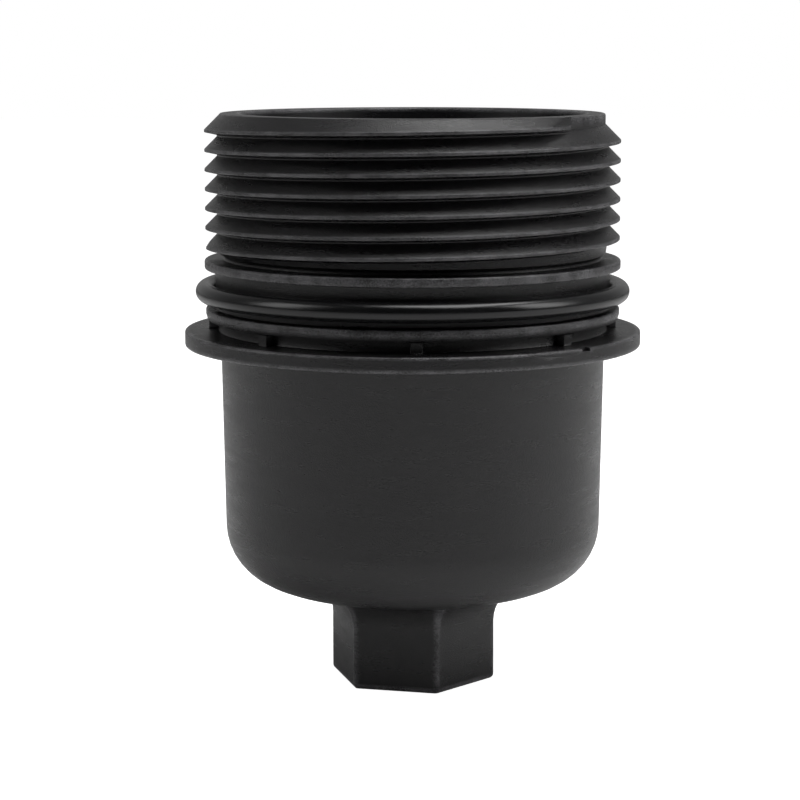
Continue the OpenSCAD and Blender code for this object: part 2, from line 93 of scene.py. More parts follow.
@dataclass
class Outline:
    """A rounded outline in the plane of radius and height.

    The solid lies to the left of the way that the points run. The wear_and_highlight value is 1 on a
    rounded outer edge, scuffed and given a painted highlight, and 0 on plain faces and in inner corners.
    """

    points: np.ndarray
    wear_and_highlight: np.ndarray

    @classmethod
    def ring(
        cls,
        radii: tuple[float, float],
        heights: tuple[float, float],
        fillets: Sequence[float],
        wear_and_highlight_width: float = 0.45,
    ) -> "Outline":
        """The four-cornered section of a plain ring.

        Args:
            radii: inner and outer radius.
            heights: lower and upper face.
            fillets: radius of each corner, from the inner low one by way of the outer ones.
            wear_and_highlight_width: distance over which the scuffing and painted highlight of an edge fade
                out, in mm.

        Returns:
            The closed outline.
        """
        (inner, outer), (low, high) = radii, heights
        sharp = ((inner, low), (outer, low), (outer, high), (inner, high))
        corners = [Corner(r, z, fillet) for (r, z), fillet in zip(sharp, fillets)]
        return cls.rounded(corners, closed=True, wear_and_highlight_width=wear_and_highlight_width)

    @classmethod
    def rounded(cls, corners: Sequence[Corner], closed: bool, wear_and_highlight_width: float = 0.45) -> "Outline":
        """Rounds each corner with an arc and holds the flats flat beside it.

        Args:
            corners: the sharp corners, in order.
            closed: whether the last corner joins the first.
            wear_and_highlight_width: distance over which the scuffing and painted highlight of an edge fade
                out, in mm.

        Returns:
            The rounded outline.
        """
        sharp = np.array([(c.r, c.z) for c in corners], float)
        count = len(corners)
        runs: list[tuple[np.ndarray, float]] = []
        for i, corner in enumerate(corners):
            if corner.fillet <= 0 or (not closed and i in (0, count - 1)):
                runs.append((sharp[i : i + 1], 0.0))
                continue
            ends = (i - 1, i, (i + 1) % count)
            shares = [1.0 if corners[k].fillet <= 0 else 0.48 for k in (ends[0], ends[2])]
            runs.append(cls.arc(*(sharp[k] for k in ends), corner.fillet, shares))
        points: list[np.ndarray] = []
        wear_and_highlight: list[float] = []
        spans = count if closed else count - 1
        for i, (run, worn_and_highlit) in enumerate(runs):
            points.extend(run)
            wear_and_highlight.extend([worn_and_highlit] * len(run))
            if i >= spans:
                continue
            start, end = run[-1], runs[(i + 1) % count][0][0]
            length = float(np.linalg.norm(end - start))
            ends_worn_and_highlit = worn_and_highlit > 0 or runs[(i + 1) % count][1] > 0
            if ends_worn_and_highlit and length > 2.5 * wear_and_highlight_width:
                for share in (wear_and_highlight_width / length, 1 - wear_and_highlight_width / length):
                    points.append(start + (end - start) * share)
                    wear_and_highlight.append(0.0)
        return cls(np.array(points), np.array(wear_and_highlight))

    @staticmethod
    def arc(
        before: np.ndarray,
        here: np.ndarray,
        after: np.ndarray,
        fillet: float,
        shares: Sequence[float] = (0.48, 0.48),
    ) -> tuple[np.ndarray, float]:
        """Points of the arc that rounds one corner, and its wear.

        Args:
            before: the corner before.
            here: the corner that is rounded.
            after: the corner after.
            fillet: the radius wanted.
            shares: how much of each side the arc may take.

        Returns:
            The points, and a wear_and_highlight value of 1, for scuffing and a painted highlight, if the
            corner is a small outer edge.
        """
        into, out = here - before, after - here
        into_len, out_len = np.linalg.norm(into), np.linalg.norm(out)
        into, out = into / into_len, out / out_len
        cross = into[0] * out[1] - into[1] * out[0]
        turn = math.atan2(cross, float(into @ out))
        if abs(turn) < math.radians(2):
            return here[None, :], 0.0
        reach = min(abs(math.tan(turn / 2)) * fillet, shares[0] * into_len, shares[1] * out_len)
        radius = reach / abs(math.tan(turn / 2))
        side = math.copysign(1.0, turn)
        centre = here - into * reach + side * radius * np.array([-into[1], into[0]])
        spoke = here - into * reach - centre
        coarse = 30 if radius < 1 else 9
        steps = max(2, math.ceil(abs(math.degrees(turn)) / coarse))
        angles = turn * np.arange(steps + 1) / steps
        cos, sin = np.cos(angles), np.sin(angles)
        arc = np.stack([spoke[0] * cos - spoke[1] * sin, spoke[0] * sin + spoke[1] * cos], axis=1)
        return centre + arc, 1.0 if turn > 0 and radius < 1 else 0.0

    @classmethod
    def circle(cls, middle_r: float, middle_z: float, diameter: float, steps: int = 20) -> "Outline":
        """A round section, such as a seal's."""
        a = np.arange(steps) * math.tau / steps
        points = np.stack(
            [middle_r + diameter / 2 * np.cos(a), middle_z + diameter / 2 * np.sin(a)], axis=1
        )
        return cls(points, np.zeros(steps))


@dataclass
class MeshDraft:
    """Points, faces and scuffed-edge and painted highlight mask of a piece that is being built, in mm."""

    points: list[np.ndarray] = field(default_factory=list)
    wear_and_highlight: list[np.ndarray] = field(default_factory=list)
    faces: list[tuple[int, ...]] = field(default_factory=list)
    count: int = 0

    def _take(self, points: np.ndarray, wear_and_highlight: np.ndarray) -> int:
        """Adds points with their scuffed-edge and painted highlight values and returns the index of the
        first.
        """
        first = self.count
        self.points.append(points.reshape(-1, 3))
        self.wear_and_highlight.append(np.broadcast_to(wear_and_highlight, points.shape[:-1]).reshape(-1))
        self.count += self.points[-1].shape[0]
        return first

    def add_grid(
        self,
        points: np.ndarray,
        wear_and_highlight: np.ndarray | float = 0.0,
        wrap: bool = False,
        closed: bool = False,
        skip: set[tuple[int, int]] | None = None,
    ) -> int:
        """Adds a sheet of quads.

        Args:
            points: rows x columns x 3 array of places.
            wear_and_highlight: scuffing and painted highlight of each point.
            wrap: whether the last column joins the first.
            closed: whether the last row joins the first.
            skip: cells left open, as (row, column).

        Returns:
            The index of the first point.
        """
        rows, columns = points.shape[:2]
        first = self._take(points, np.asarray(wear_and_highlight, float))
        for i in range(rows if closed else rows - 1):
            low, high = first + i * columns, first + (i + 1) % rows * columns
            for j in range(columns if wrap else columns - 1):
                k = (j + 1) % columns
                if skip is None or (i, j) not in skip:
                    self.faces.append((low + j, low + k, high + k, high + j))
        return first

    def add_polygon(self, points: np.ndarray, wear_and_highlight: np.ndarray | float = 0.0) -> None:
        """Adds one flat face."""
        first = self._take(points, np.asarray(wear_and_highlight, float))
        self.faces.append(tuple(range(first, first + len(points))))

    def add_mesh(self, mesh: bpy.types.Mesh) -> np.ndarray:
        """Adds a finished mesh, which is in metres, and returns its points in mm."""
        points = read_points(mesh) / MM
        worn_and_highlit = np.zeros(len(points))
        layer = mesh.attributes.get("wear_and_highlight")
        if layer is not None:
            layer.data.foreach_get("value", worn_and_highlit)
        first = self._take(points, worn_and_highlit)
        self.faces.extend(tuple(first + v for v in face.vertices) for face in mesh.polygons)
        return points

    def turn(
        self,
        outline: Outline,
        closed: bool,
        columns: int = 96,
        span: tuple[float, float] | None = None,
    ) -> "MeshDraft":
        """Turns an outline about the axis.

        Args:
            outline: the section.
            closed: whether the section is a loop; an open one starts and ends on the axis.
            columns: steps in a full turn.
            span: start and end in degrees for a ring that stays open; its ends are capped.

        Returns:
            This draft, so that calls can follow each other.
        """
        start, end = span if span else (0.0, 360.0)
        steps = columns if span is None else max(2, round(columns * (end - start) / 360)) + 1
        angles = np.radians(np.linspace(start, end, steps, endpoint=span is not None))
        points = place(outline.points[:, None, 0], angles[None, :], outline.points[:, None, 1])
        wear_and_highlight = np.repeat(outline.wear_and_highlight[:, None], steps, axis=1)
        self.add_grid(points, wear_and_highlight, wrap=span is None, closed=closed)
        if span:
            self.add_polygon(points[:, 0])
            self.add_polygon(points[::-1, -1])
        return self

    def add_prism(self, outline: np.ndarray, low_z: float, high_z: float) -> "MeshDraft":
        """Raises a flat outline, an array of x and y, into a closed bar between two heights."""
        low = np.column_stack([outline, np.full(len(outline), low_z)])
        high = np.column_stack([outline, np.full(len(outline), high_z)])
        self.add_grid(np.stack([low, high]), wrap=True)
        self.add_polygon(low[::-1])
        self.add_polygon(high)
        return self

    def mesh(self, name: str) -> bpy.types.Mesh:
        """Welds the draft into a mesh in metres, with its scuffed-edge and painted highlight mask as an
        attribute.
        """
        mesh = bpy.data.meshes.new(name)
        mesh.from_pydata((np.concatenate(self.points) * MM).tolist(), [], self.faces)
        layer = mesh.attributes.new("wear_and_highlight", "FLOAT", "POINT")
        layer.data.foreach_set("value", np.concatenate(self.wear_and_highlight).astype(np.float32))
        work = bmesh.new()
        work.from_mesh(mesh)
        bmesh.ops.remove_doubles(work, verts=work.verts, dist=WELD_MM * MM)
        bmesh.ops.recalc_face_normals(work, faces=work.faces)
        work.to_mesh(mesh)
        work.free()
        return mesh


def slab(start: float, end: float, half_w: float) -> np.ndarray:
    """The corners of a straight bar along +X, seen from above."""
    return np.array([(start, -half_w), (end, -half_w), (end, half_w), (start, half_w)])


def place(r: np.ndarray, angle: np.ndarray, z: np.ndarray) -> np.ndarray:
    """Places from radius, angle in radians and height, as an array with x, y and z last."""
    r, angle, z = np.broadcast_arrays(r, angle, z)
    return np.stack([r * np.cos(angle), r * np.sin(angle), z], axis=-1)


def read_points(mesh: bpy.types.Mesh) -> np.ndarray:
    """A mesh's points as an array."""
    flat = np.zeros(len(mesh.vertices) * 3)
    mesh.vertices.foreach_get("co", flat)
    return flat.reshape(-1, 3)


def box_mm(node: str) -> tuple[np.ndarray, np.ndarray]:
    """Lowest and highest corner of a CAD node, in mm."""
    low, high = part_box(node)
    return np.array(low) / MM, np.array(high) / MM


# --- Node trees ------------------------------------------------------------------------------


class NodeSheet:
    """A node tree under construction, with short ways to add and join nodes."""

    def __init__(self, tree: bpy.types.NodeTree) -> None:
        """Starts on a tree that may already hold nodes."""
        self.tree = tree

    def add(self, kind: str, inputs: dict[Any, Any] | None = None, **settings: Any) -> bpy.types.Node:
        """Adds a node.

        Args:
            kind: the node's type name.
            inputs: what each input takes, by name or number: an output to link or a value.
            **settings: properties of the node.

        Returns:
            The node.
        """
        node = self.tree.nodes.new(kind)
        for name, value in settings.items():
            setattr(node, name, value)
        for key, value in (inputs or {}).items():
            if isinstance(value, bpy.types.NodeSocket):
                self.tree.links.new(value, node.inputs[key])
            else:
                node.inputs[key].default_value = value
        return node

    def math(self, operation: str, *values: Any) -> bpy.types.NodeSocket:
        """One step of arithmetic on outputs and numbers."""
        return self.add("ShaderNodeMath", dict(enumerate(values)), operation=operation).outputs[0]

    def blend(self, share: Any, first: Any, second: Any) -> bpy.types.NodeSocket:
        """A colour between two colours."""
        node = self.add("ShaderNodeMix", {0: share, 6: first, 7: second}, data_type="RGBA")
        return node.outputs[2]

    def between(self, value: Any, low: float, high: float, to_low: float = 0.0, to_high: float = 1.0) -> Any:
        """A value moved from one range to another, and held inside it."""
        inputs = {"Value": value, "From Min": low, "From Max": high, "To Min": to_low, "To Max": to_high}
        return self.add("ShaderNodeMapRange", inputs).outputs["Result"]

    def noise(self, vector: Any, scale: Any, detail: float = 2.0, rough: float = 0.5) -> Any:
        """Soft noise over a surface."""
        inputs = {"Vector": vector, "Scale": scale, "Detail": detail, "Roughness": rough}
        return self.add("ShaderNodeTexNoise", inputs).outputs[0]


def new_tree(
    name: str, kind: str, inputs: dict[str, str], outputs: dict[str, str]
) -> tuple[NodeSheet, Any, Any]:
    """Starts a node group.

    Args:
        name: the group's name.
        kind: ShaderNodeTree or GeometryNodeTree.
        inputs: socket type of each input, by name.
        outputs: socket type of each output, by name.

    Returns:
        The sheet, the group's input node and the group's output node.
    """
    tree = bpy.data.node_groups.new(name, kind)
    for way, sockets in (("INPUT", inputs), ("OUTPUT", outputs)):
        for socket, socket_type in sockets.items():
            tree.interface.new_socket(socket, in_out=way, socket_type=socket_type)
    sheet = NodeSheet(tree)
    return sheet, sheet.add("NodeGroupInput"), sheet.add("NodeGroupOutput")


def run_tree(
    tree: bpy.types.NodeTree, mesh: bpy.types.Mesh, values: dict[str, Any]
) -> bpy.types.Mesh:
    """Runs a geometry tree on a mesh and keeps its result as a plain mesh.

    Args:
        tree: the geometry tree.
        mesh: the mesh that it starts from.
        values: value of each named input.

    Returns:
        The finished mesh, with no modifier left.
    """
    holder = bpy.data.objects.new(f"{tree.name}_holder", mesh)
    bpy.context.scene.collection.objects.link(holder)
    modifier = holder.modifiers.new(tree.name, "NODES")
    modifier.node_group = tree
    for item in tree.interface.items_tree:
        if item.item_type == "SOCKET" and item.in_out == "INPUT" and item.name in values:
            modifier[item.identifier] = values[item.name]
    result = finished_mesh(holder)
    bpy.data.objects.remove(holder)
    return result


def finished_mesh(holder: bpy.types.Object) -> bpy.types.Mesh:
    """An object's mesh with its modifiers carried out."""
    bpy.context.view_layer.update()
    graph = bpy.context.evaluated_depsgraph_get()
    return bpy.data.meshes.new_from_object(holder.evaluated_get(graph))


class HelixSweep:
    """Geometry tree that sweeps a section along a helix, with run-outs and a flat top.

    The section is the start mesh: radius in x and height in z, with a second place for each point
    in the attribute "plain", which the last turn takes, and its scuffed-edge and painted highlight mask
    in "wear_and_highlight".
    """

    INPUTS = {
        "Section": "NodeSocketGeometry",
        "Section points": "NodeSocketInt",
        "Steps": "NodeSocketInt",
        "Steps per turn": "NodeSocketInt",
        "Pitch": "NodeSocketFloat",
        "Start angle": "NodeSocketFloat",
        "Start height": "NodeSocketFloat",
        "Level steps": "NodeSocketInt",
        "Crest radius": "NodeSocketFloat",
        "Start radius": "NodeSocketFloat",
        "End radius": "NodeSocketFloat",
        "Run-in steps": "NodeSocketInt",
        "Run-out steps": "NodeSocketInt",
        "Root radius": "NodeSocketFloat",
        "Back slope": "NodeSocketFloat",
        "Top height": "NodeSocketFloat",
        "Shared root": "NodeSocketBool",
        "Material": "NodeSocketMaterial",
    }

    def __init__(self) -> None:
        """Builds the tree."""
        sheet, given, out = new_tree(
            "helix_sweep", "GeometryNodeTree", self.INPUTS, {"Geometry": "NodeSocketGeometry"}
        )
        self.tree = sheet.tree
        take = given.outputs
        count = take["Section points"]
        grid = sheet.add(
            "GeometryNodeMeshGrid",
            {"Vertices X": sheet.math("ADD", take["Steps"], 1.0), "Vertices Y": count},
        )
        index = sheet.add("GeometryNodeInputIndex").outputs[0]
        own_step = sheet.math("FLOOR", sheet.math("DIVIDE", sheet.math("ADD", index, 0.5), count))
        own_point = sheet.math("SUBTRACT", index, sheet.math("MULTIPLY", own_step, count))

        # The last point of a section is the first point of the section one turn higher
        is_last = sheet.math("GREATER_THAN", own_point, sheet.math("SUBTRACT", count, 1.5))
        last_shared = sheet.math("SUBTRACT", take["Steps"], take["Steps per turn"])
        below = sheet.math("LESS_THAN", own_step, sheet.math("ADD", last_shared, 0.5))
        is_root = sheet.math(
            "MULTIPLY", sheet.math("MULTIPLY", is_last, below), take["Shared root"]
        )
        step = sheet.math("ADD", own_step, sheet.math("MULTIPLY", is_root, take["Steps per turn"]))
        point = sheet.math("MULTIPLY", own_point, sheet.math("SUBTRACT", 1.0, is_root))
        on_top = sheet.math(
            "MULTIPLY", sheet.math("SUBTRACT", 1.0, below), take["Shared root"]
        )

        here = self._sample(sheet, take["Section"], "position", point)
        plain = self._sample(sheet, take["Section"], "plain", point)
        section = sheet.add(
            "GeometryNodeSwitch", {"Switch": on_top, "False": here, "True": plain}, input_type="VECTOR"
        )
        shape = sheet.add("ShaderNodeSeparateXYZ", {0: section.outputs[0]})
        foot = sheet.add(
            "ShaderNodeSeparateXYZ", {0: self._sample(sheet, take["Section"], "position", 0)}
        )

        # Run-in and run-out narrow the ridge to a cylinder
        run_in = sheet.math(
            "MINIMUM", sheet.math("DIVIDE", step, sheet.math("MAXIMUM", take["Run-in steps"], 1.0)), 1.0
        )
        left = sheet.math("SUBTRACT", take["Steps"], step)
        run_out = sheet.math(
            "MINIMUM", sheet.math("DIVIDE", left, sheet.math("MAXIMUM", take["Run-out steps"], 1.0)), 1.0
        )
        start_limit = self._part_way(sheet, run_in, take["Start radius"], take["Crest radius"])
        end_limit = self._part_way(sheet, run_out, take["End radius"], take["Crest radius"])
        limit = sheet.math("MINIMUM", start_limit, end_limit)
        radius = sheet.math("MINIMUM", shape.outputs["X"], limit)
        lost = sheet.math("MAXIMUM", sheet.math("SUBTRACT", take["Root radius"], limit), 0.0)
        floor = sheet.math("ADD", foot.outputs["Z"], sheet.math("MULTIPLY", lost, take["Back slope"]))
        lift = sheet.math("MAXIMUM", shape.outputs["Z"], floor)

        # Level steps hold the height at both ends, as on a closed spring
        rising = sheet.math(
            "SUBTRACT", take["Steps"], sheet.math("MULTIPLY", take["Level steps"], 2.0)
        )
        risen = sheet.math(
            "MAXIMUM", sheet.math("SUBTRACT", step, take["Level steps"]), 0.0
        )
        turns = sheet.math(
            "DIVIDE", sheet.math("MINIMUM", risen, rising), take["Steps per turn"]
        )
        whole = sheet.math("ADD", sheet.math("MULTIPLY", turns, take["Pitch"]), take["Start height"])
        height = sheet.math("MINIMUM", sheet.math("ADD", whole, lift), take["Top height"])
        step_angle = sheet.math("DIVIDE", math.tau, take["Steps per turn"])
        angle = sheet.math("ADD", take["Start angle"], sheet.math("MULTIPLY", own_step, step_angle))
        where = sheet.add(
            "ShaderNodeCombineXYZ",
            {
                "X": sheet.math("MULTIPLY", radius, sheet.math("COSINE", angle)),
                "Y": sheet.math("MULTIPLY", radius, sheet.math("SINE", angle)),
                "Z": height,
            },
        )
        moved = sheet.add(
            "GeometryNodeSetPosition", {"Geometry": grid.outputs["Mesh"], "Position": where.outputs[0]}
        )
        worn_and_highlit = self._sample(sheet, take["Section"], "wear_and_highlight", point)
        stored = sheet.add(
            "GeometryNodeStoreNamedAttribute",
            {"Geometry": moved.outputs[0], "Name": "wear_and_highlight", "Value": worn_and_highlit},
            data_type="FLOAT",
            domain="POINT",
        )
        close_sheet(sheet, stored.outputs[0], take["Material"], out)

    @staticmethod
    def _sample(sheet: NodeSheet, section: Any, name: str, point: Any) -> bpy.types.NodeSocket:
        """Reads an attribute of one point of the section."""
        kind = "FLOAT" if name == "wear_and_highlight" else "FLOAT_VECTOR"
        if name == "position":
            value = sheet.add("GeometryNodeInputPosition").outputs[0]
        else:
            value = sheet.add("GeometryNodeInputNamedAttribute", {"Name": name}, data_type=kind).outputs[0]
        node = sheet.add(
            "GeometryNodeSampleIndex",
            {"Geometry": section, "Value": value, "Index": point},
            data_type=kind,
            domain="POINT",
        )
        return node.outputs[0]

    @staticmethod
    def _part_way(sheet: NodeSheet, share: Any, low: Any, high: Any) -> bpy.types.NodeSocket:
        """A value part of the way from low to high."""
        rise = sheet.math("MULTIPLY", share, sheet.math("SUBTRACT", high, low))
        return sheet.math("ADD", low, rise)

    def make(
        self, section: np.ndarray, plain: np.ndarray, wear_and_highlight: np.ndarray, values: dict[str, Any]
    ) -> bpy.types.Mesh:
        """Sweeps a section.

        Args:
            section: radius and height of each point, in mm.
            plain: the same for the last turn, where no turn follows.
            wear_and_highlight: scuffing and painted highlight of each point.
            values: the tree's inputs; lengths are in metres.

        Returns:
            The swept mesh, with the points in order of step and then of section.
        """
        start = bpy.data.meshes.new("section")
        flat = np.column_stack([section[:, 0], np.zeros(len(section)), section[:, 1]]) * MM
        start.from_pydata(flat.tolist(), [], [])
        other = np.column_stack([plain[:, 0], np.zeros(len(plain)), plain[:, 1]]) * MM
        start.attributes.new("plain", "FLOAT_VECTOR", "POINT").data.foreach_set(
            "vector", other.astype(np.float32).ravel()
        )
        start.attributes.new("wear_and_highlight", "FLOAT", "POINT").data.foreach_set(
            "value", wear_and_highlight.astype(np.float32)
        )
        return run_tree(self.tree, start, {"Section points": len(section), **values})


class RingOfCopies:
    """Geometry tree that sets copies of the start mesh round the axis and joins them."""

    INPUTS = {
        "Unit": "NodeSocketGeometry",
        "Count": "NodeSocketInt",
        "Start angle": "NodeSocketFloat",
        "Weld": "NodeSocketFloat",
        "Material": "NodeSocketMaterial",
    }

    def __init__(self) -> None:
        """Builds the tree."""
        sheet, given, out = new_tree(
            "ring_of_copies", "GeometryNodeTree", self.INPUTS, {"Geometry": "NodeSocketGeometry"}
        )
        self.tree = sheet.tree
        take = given.outputs
        spots = sheet.add("GeometryNodePoints", {"Count": take["Count"]})
        index = sheet.add("GeometryNodeInputIndex").outputs[0]
        share = sheet.math("DIVIDE", math.tau, take["Count"])
        angle = sheet.math("ADD", take["Start angle"], sheet.math("MULTIPLY", index, share))
        euler = sheet.add("ShaderNodeCombineXYZ", {"Z": angle})
        rotation = sheet.add("FunctionNodeEulerToRotation", {0: euler.outputs[0]})
        copies = sheet.add(
            "GeometryNodeInstanceOnPoints",
            {"Points": spots.outputs[0], "Instance": take["Unit"], "Rotation": rotation.outputs[0]},
        )
        real = sheet.add("GeometryNodeRealizeInstances", {0: copies.outputs[0]})
        welded = sheet.add(
            "GeometryNodeMergeByDistance", {"Geometry": real.outputs[0], "Distance": take["Weld"]}
        )
        close_sheet(sheet, welded.outputs[0], take["Material"], out)

    def make(
        self, unit: bpy.types.Mesh, count: int, start: float, material: bpy.types.Material
    ) -> bpy.types.Mesh:
        """Sets copies of a unit round the axis, the first turned by a start angle in degrees."""
        values = {
            "Count": count,
            "Start angle": math.radians(start),
            "Weld": WELD_MM * MM,
            "Material": material,
        }
        return run_tree(self.tree, unit, values)


def close_sheet(sheet: NodeSheet, geometry: Any, material: Any, out: bpy.types.Node) -> None:
    """Ends a geometry tree: makes its instances real and sets its material."""
    real = sheet.add("GeometryNodeRealizeInstances", {0: geometry})
    painted = sheet.add(
        "GeometryNodeSetMaterial", {"Geometry": real.outputs[0], "Material": material}
    )
    sheet.tree.links.new(painted.outputs[0], out.inputs[0])


# --- Finishes --------------------------------------------------------------------------------


def colour(value: str) -> tuple[float, float, float, float]:
    """A linear colour from a web colour such as "#2b2a2c"."""
    parts = [int(value[i : i + 2], 16) / 255 for i in (1, 3, 5)]
    linear = [p / 12.92 if p <= 0.04045 else ((p + 0.055) / 1.055) ** 2.4 for p in parts]
    return (*linear, 1.0)


class SharedEffects:
    """Shader groups that several finishes use."""

    def __init__(self) -> None:
        """Builds each group once."""
        self.grain = self._grain()
        self.clouds = self._clouds()
        self.edge_wear_and_highlight = self._edge_wear_and_highlight()

    @staticmethod
    def _grain() -> bpy.types.NodeTree:
        """Spark-eroded or moulded grain: fine pits over a soft swell."""
        sheet, given, out = new_tree(
            "surface_grain",
            "ShaderNodeTree",
            {"Size": "NodeSocketFloat", "Swell": "NodeSocketFloat"},
            {"Height": "NodeSocketFloat", "Pits": "NodeSocketFloat"},
        )
        place_at = sheet.add("ShaderNodeTexCoord").outputs["Object"]
        scale = sheet.math("DIVIDE", 1.0, given.outputs["Size"])
        fine = sheet.noise(place_at, scale, 3.0, 0.62)
        broad = sheet.noise(place_at, sheet.math("MULTIPLY", scale, 0.11), 2.0)
        pits = sheet.between(fine, 0.36, 0.64)
        height = sheet.math("ADD", pits, sheet.math("MULTIPLY", broad, given.outputs["Swell"]))
        sheet.tree.links.new(height, out.inputs["Height"])
        sheet.tree.links.new(pits, out.inputs["Pits"])
        return sheet.tree

    @staticmethod
    def _clouds() -> bpy.types.NodeTree:
        """Slow changes of tone over a surface."""
        sheet, given, out = new_tree(
            "tone_clouds",
            "ShaderNodeTree",
            {"Size": "NodeSocketFloat"},
            {"Tone": "NodeSocketFloat", "Streaks": "NodeSocketFloat"},
        )
        coordinates = sheet.add("ShaderNodeTexCoord").outputs["Object"]
        scale = sheet.math("DIVIDE", 1.0, given.outputs["Size"])
        tone = sheet.between(sheet.noise(coordinates, scale, 3.0), 0.3, 0.7)
        flat = sheet.add("ShaderNodeMapping", {"Vector": coordinates, "Scale": (1.0, 1.0, 6.0)})
        streaks = sheet.between(sheet.noise(flat.outputs[0], scale, 4.0, 0.6), 0.35, 0.65)
        sheet.tree.links.new(tone, out.inputs["Tone"])
        sheet.tree.links.new(streaks, out.inputs["Streaks"])
        return sheet.tree

    @staticmethod
    def _edge_wear_and_highlight() -> bpy.types.NodeTree:
        """Mask of scuffed edges, broken up into specks; it also places painted highlights on them."""
        sheet, given, out = new_tree(
            "edge_wear_and_highlight",
            "ShaderNodeTree",
            {"Speck size": "NodeSocketFloat", "Amount": "NodeSocketFloat"},
            {"Mask": "NodeSocketFloat"},
        )
        coordinates = sheet.add("ShaderNodeTexCoord").outputs["Object"]
        edge = sheet.add("ShaderNodeAttribute", attribute_name="wear_and_highlight").outputs["Fac"]
        scale = sheet.math("DIVIDE", 1.0, given.outputs["Speck size"])
        specks = sheet.noise(coordinates, scale, 4.0, 0.7)
        patches = sheet.noise(coordinates, sheet.math("MULTIPLY", scale, 0.07), 2.0)
        reach = sheet.math("ADD", specks, sheet.math("MULTIPLY", patches, 0.6))
        rubbed_and_highlit = sheet.math("MULTIPLY", edge, sheet.between(reach, 0.62, 0.98))
        mask = sheet.math("MULTIPLY", rubbed_and_highlit, given.outputs["Amount"])
        sheet.tree.links.new(mask, out.inputs["Mask"])
        return sheet.tree


@dataclass(frozen=True)
class Finish:
    """How one material looks. Lengths are in mm; colours are web colours."""

    name: str
    dark: str
    light: str
    rough: float
    rough_spread: float = 0.08
    metal: float = 0.0
    specular: float = 0.5
    grain_mm: float = 0.25
    grain_depth_mm: float = 0.012
    swell: float = 0.3
    cloud_mm: float = 9.0
    # Colour of scuffed edges; it also paints the highlights that light puts on them.
    worn_and_highlit: str = "#77767a"
    wear_and_highlight_amount: float = 0.0
    pit_tone: float = 0.25
    speck_mm: float = 0.25

    def material(self, effects: SharedEffects) -> bpy.types.Material:
        """Builds the material from the shared groups."""
        material = bpy.data.materials.new(self.name)
        material.use_nodes = True
        sheet = NodeSheet(material.node_tree)
        shader = sheet.tree.nodes["Principled BSDF"]
        grain = sheet.add("ShaderNodeGroup", node_tree=effects.grain)
        grain.inputs["Size"].default_value = self.grain_mm * MM
        grain.inputs["Swell"].default_value = self.swell
        clouds = sheet.add("ShaderNodeGroup", node_tree=effects.clouds)
        clouds.inputs["Size"].default_value = self.cloud_mm * MM
        wear_and_highlight = sheet.add("ShaderNodeGroup", node_tree=effects.edge_wear_and_highlight)
        wear_and_highlight.inputs["Speck size"].default_value = self.speck_mm * MM
        wear_and_highlight.inputs["Amount"].default_value = self.wear_and_highlight_amount
        pits, tone = grain.outputs["Pits"], clouds.outputs["Tone"]
        pitted = sheet.math("MULTIPLY", pits, self.pit_tone)
        mottled = sheet.math("MULTIPLY", tone, 0.5)
        share = sheet.math("ADD", pitted, mottled)
        base = sheet.blend(share, colour(self.dark), colour(self.light))
        # Painted highlight: small rounded edges are lightened towards the scuffed-edge colour, standing in
        # for light caught on them as well as for scuffing.
        base = sheet.blend(wear_and_highlight.outputs["Mask"], base, colour(self.worn_and_highlit))
        sheet.tree.links.new(base, shader.inputs["Base Color"])
        streaks = sheet.math("SUBTRACT", clouds.outputs["Streaks"], 0.5)
        rough = sheet.math("MULTIPLY_ADD", streaks, self.rough_spread, self.rough)
        rough = sheet.math("SUBTRACT", rough, sheet.math("MULTIPLY", wear_and_highlight.outputs["Mask"], 0.12))
        sheet.tree.links.new(rough, shader.inputs["Roughness"])
        self.detail(sheet, shader, grain.outputs["Height"])
        shader.inputs["Metallic"].default_value = self.metal
        shader.inputs["Specular IOR Level"].default_value = self.specular
        return material

    def detail(self, sheet: NodeSheet, shader: bpy.types.Node, grain: Any) -> None:
        """Turns the grain into bumps."""
        bump = sheet.add("ShaderNodeBump", {"Distance": self.grain_depth_mm * MM, "Height": grain})
        sheet.tree.links.new(bump.outputs[0], shader.inputs["Normal"])


@dataclass(frozen=True)
class PaperFinish(Finish):
    """Resin-bonded filter paper: long fibres and rows of embossed dimples."""

    row_mm: float = 2.4

    def detail(self, sheet: NodeSheet, shader: bpy.types.Node, grain: Any) -> None:
        """Adds dimple rows to the fibre bumps."""
        coordinates = sheet.add("ShaderNodeTexCoord").outputs["Object"]
        height = sheet.add("ShaderNodeSeparateXYZ", {0: coordinates}).outputs["Z"]
        wave = sheet.math("SINE", sheet.math("MULTIPLY", height, math.tau / (self.row_mm * MM)))
        relief = sheet.math("ADD", grain, sheet.math("MULTIPLY", wave, 1.6))
        bump = sheet.add("ShaderNodeBump", {"Distance": self.grain_depth_mm * MM, "Height": relief})
        sheet.tree.links.new(bump.outputs[0], shader.inputs["Normal"])


@dataclass(frozen=True)
class DrawnMetal(Finish):
    """Metal with fine lines along its length, read from the surface's own height and radius."""

    line_mm: float = 0.08

    def detail(self, sheet: NodeSheet, shader: bpy.types.Node, grain: Any) -> None:
        """Adds fine lines to the grain."""
        coordinates = sheet.add("ShaderNodeTexCoord").outputs["Object"]
        flat = sheet.add("ShaderNodeMapping", {"Vector": coordinates, "Scale": (0.08, 0.08, 1.0)})
        lines = sheet.noise(flat.outputs[0], 1.0 / (self.line_mm * MM), 2.0)
        relief = sheet.math("MULTIPLY_ADD", grain, 0.4, lines)
        bump = sheet.add("ShaderNodeBump", {"Distance": self.grain_depth_mm * MM, "Height": relief})
        sheet.tree.links.new(bump.outputs[0], shader.inputs["Normal"])


